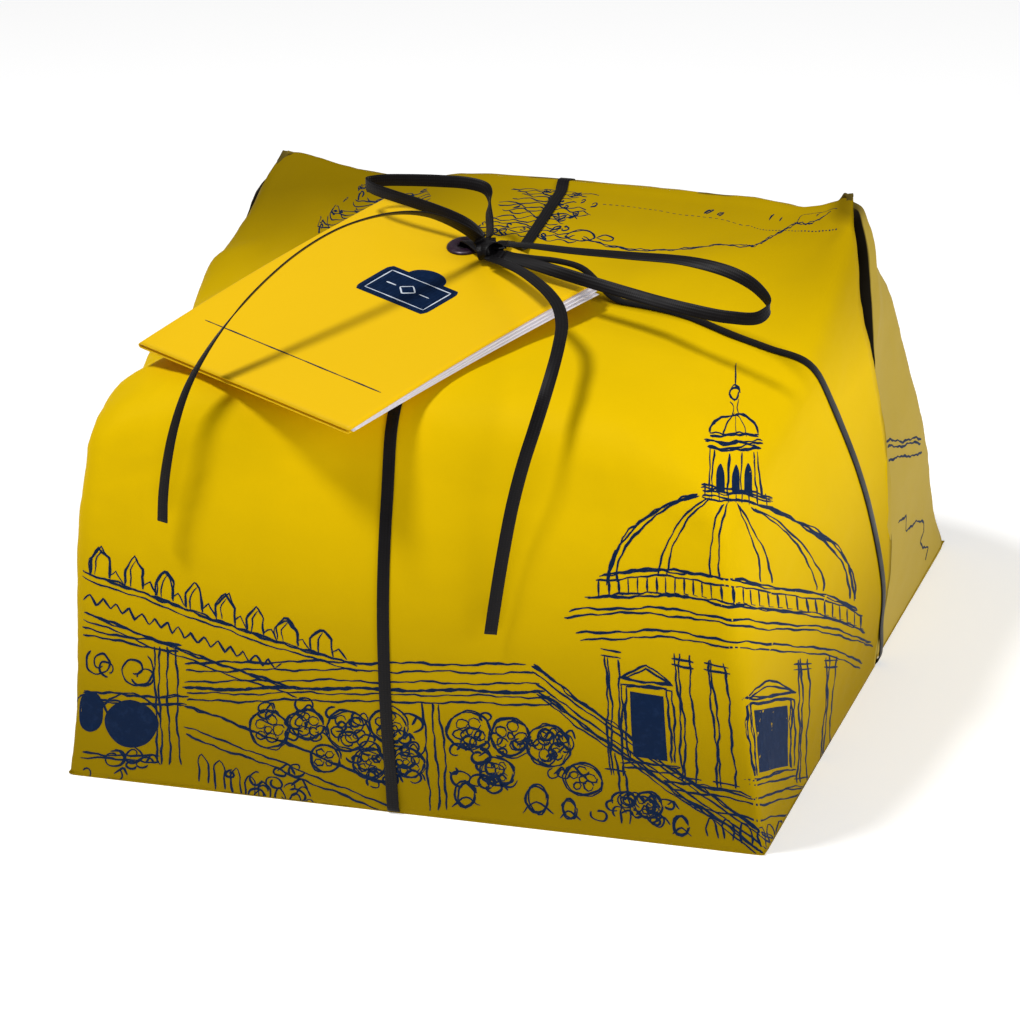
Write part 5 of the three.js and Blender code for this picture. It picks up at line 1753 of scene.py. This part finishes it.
class PANETTONE_OT_stage(bpy.types.Operator):
    """Camera, lights and the pale floor"""
    bl_idname = "panettone.stage"
    bl_label = "Stage"

    def execute(self, context):
        make_camera(context.scene)
        make_lights(context.scene)
        make_floor(context.scene)
        return {"FINISHED"}


class PANETTONE_OT_free_ribbons(bpy.types.Operator):
    """The bow's two loops and the ribbon's two free ends"""
    bl_idname = "panettone.free_ribbons"
    bl_label = "Bow and free ends"

    def execute(self, context):
        build_free_ribbons()
        return {"FINISHED"}


class PANETTONE_OT_wrap(bpy.types.Operator):
    """The sheet of paper folded round the loaf"""
    bl_idname = "panettone.wrap"
    bl_label = "Paper wrap"

    def execute(self, context):
        SHEET["sheet"], SHEET["surface"] = build_wrap()
        return {"FINISHED"}


class PANETTONE_OT_print(bpy.types.Operator):
    """The drawing printed on the paper"""
    bl_idname = "panettone.print"
    bl_label = "Print"

    def execute(self, context):
        build_print(SHEET["sheet"], SHEET["surface"])
        return {"FINISHED"}


class PANETTONE_OT_ties(bpy.types.Operator):
    """The two ties that lie on the paper, and the knot where they meet"""
    bl_idname = "panettone.ties"
    bl_label = "Ties and knot"

    def execute(self, context):
        finish(build_front_back_band(SHEET["surface"]), "ribbon_front_back_band")
        finish(build_side_band(SHEET["surface"]), "ribbon_side_band")
        finish(build_knot(), "ribbon_knot")
        return {"FINISHED"}


class PANETTONE_OT_tag(bpy.types.Operator):
    """The booklet tag with its inner leaves"""
    bl_idname = "panettone.tag"
    bl_label = "Booklet tag"

    def execute(self, context):
        build_tag()
        build_tag_print()
        return {"FINISHED"}


class PANETTONE_OT_eyelet(bpy.types.Operator):
    """The eyelet that the ribbon runs through"""
    bl_idname = "panettone.eyelet"
    bl_label = "Eyelet"

    def execute(self, context):
        build_eyelet()
        return {"FINISHED"}


class PANETTONE_OT_contents(bpy.types.Operator):
    """The loaf in its case and tied bag, on its card base"""
    bl_idname = "panettone.contents"
    bl_label = "Loaf, case, bag and board"

    def execute(self, context):
        build_loaf()
        build_case()
        build_bag()
        build_bag_tie()
        finish_board()
        return {"FINISHED"}


class PANETTONE_PT_panel(bpy.types.Panel):
    """Lists the pieces of the panettone"""
    bl_label = "Panettone"
    bl_idname = "PANETTONE_PT_panel"
    bl_space_type = "VIEW_3D"
    bl_region_type = "UI"
    bl_category = "Panettone"

    def draw(self, context):
        for operator in OPERATORS:
            self.layout.operator(operator.bl_idname)


# What the camera looks at, in mm, and the stage's measures in metres. Each light: its place, what it
# shines at, its size and its power.
CAMERA_TARGET = (-1.95, -0.68, 52.9)
LIGHTS = {
    "Key light": ((-0.36, -0.30, 1.16), (0.0, -0.03, 0.10), 0.22, 9.9),
    "Side light": ((1.30, -0.36, 0.62), (0.05, -0.03, 0.08), 0.8, 12.5),
}
STUDIO_LIGHT, FLOOR_GLOW, FLOOR_REACH = 0.25, 0.36, 6.0


def make_camera(scene):
    settings = scene.panettone_stage
    azimuth, elevation, roll = settings.azimuth, settings.elevation, settings.roll
    level = math.cos(elevation)
    back = Vector((math.sin(azimuth) * level, -math.cos(azimuth) * level, math.sin(elevation)))
    target = Vector(CAMERA_TARGET) * MM
    right = Vector((math.cos(azimuth), math.sin(azimuth), 0))
    up = back.cross(right)
    rolled_right = right * math.cos(roll) + up * math.sin(roll)
    rolled_up = up * math.cos(roll) - right * math.sin(roll)
    data = bpy.data.cameras.new("Camera")
    data.lens = settings.lens
    data.sensor_width = 36
    data.clip_end = 20
    camera = link(bpy.data.objects.new("Camera", data))
    turn = Matrix((rolled_right, rolled_up, back)).transposed()
    camera.matrix_world = Matrix.Translation(target + back * settings.distance) @ turn.to_4x4()
    scene.camera = camera


def make_lights(scene):
    for name, (place, target, size, power) in LIGHTS.items():
        data = bpy.data.lights.new(name, "AREA")
        data.shape, data.size, data.energy = "DISK", size, power
        lamp = link(bpy.data.objects.new(name, data))
        lamp.location = place
        lamp.rotation_mode = "QUATERNION"
        lamp.rotation_quaternion = (Vector(target) - Vector(place)).to_track_quat("-Z", "Y")
    world = bpy.data.worlds.new("Studio")
    world.use_nodes = True
    background = world.node_tree.nodes["Background"]
    background.inputs["Color"].default_value = (1, 1, 1, 1)
    background.inputs["Strength"].default_value = STUDIO_LIGHT
    scene.world = world
    scene.view_settings.view_transform = "Standard"


def make_floor(scene):
    if not scene.panettone_stage.floor:
        return
    corners = [(x * FLOOR_REACH, y * FLOOR_REACH, 0) for x, y in ((-1, -1), (1, -1), (1, 1), (-1, 1))]
    material = paper_material("Pale floor", (0.9, 0.9, 0.9), 0.1, 0.8, 0.1, 0.0, shade=(0.88, 0.88, 0.88))
    shader = material.node_tree.nodes["Principled BSDF"]
    shader.inputs["Emission Color"].default_value = (1, 1, 1, 1)
    shader.inputs["Emission Strength"].default_value = FLOOR_GLOW
    floor = mesh_object("floor", corners, [(0, 1, 2, 3)], material, smooth=False)


SETTINGS = (
    ("panettone_wrap", WrapSettings), ("panettone_ribbon", RibbonSettings),
    ("panettone_tag", TagSettings), ("panettone_stage", StageSettings))
OPERATORS = (
    PANETTONE_OT_stage, PANETTONE_OT_free_ribbons, PANETTONE_OT_wrap, PANETTONE_OT_print,
    PANETTONE_OT_ties, PANETTONE_OT_tag, PANETTONE_OT_eyelet, PANETTONE_OT_contents)


def register():
    for name, settings in SETTINGS:
        bpy.utils.register_class(settings)
        setattr(bpy.types.Scene, name, PointerProperty(type=settings))
    for operator in OPERATORS:
        bpy.utils.register_class(operator)
    bpy.utils.register_class(PANETTONE_PT_panel)


def unregister():
    bpy.utils.unregister_class(PANETTONE_PT_panel)
    for operator in reversed(OPERATORS):
        bpy.utils.unregister_class(operator)
    for name, settings in reversed(SETTINGS):
        delattr(bpy.types.Scene, name)
        bpy.utils.unregister_class(settings)


def main():
    register()
    for operator in OPERATORS:
        section, name = operator.bl_idname.split(".")
        getattr(getattr(bpy.ops, section), name)()


if __name__ == "__main__":
    main()
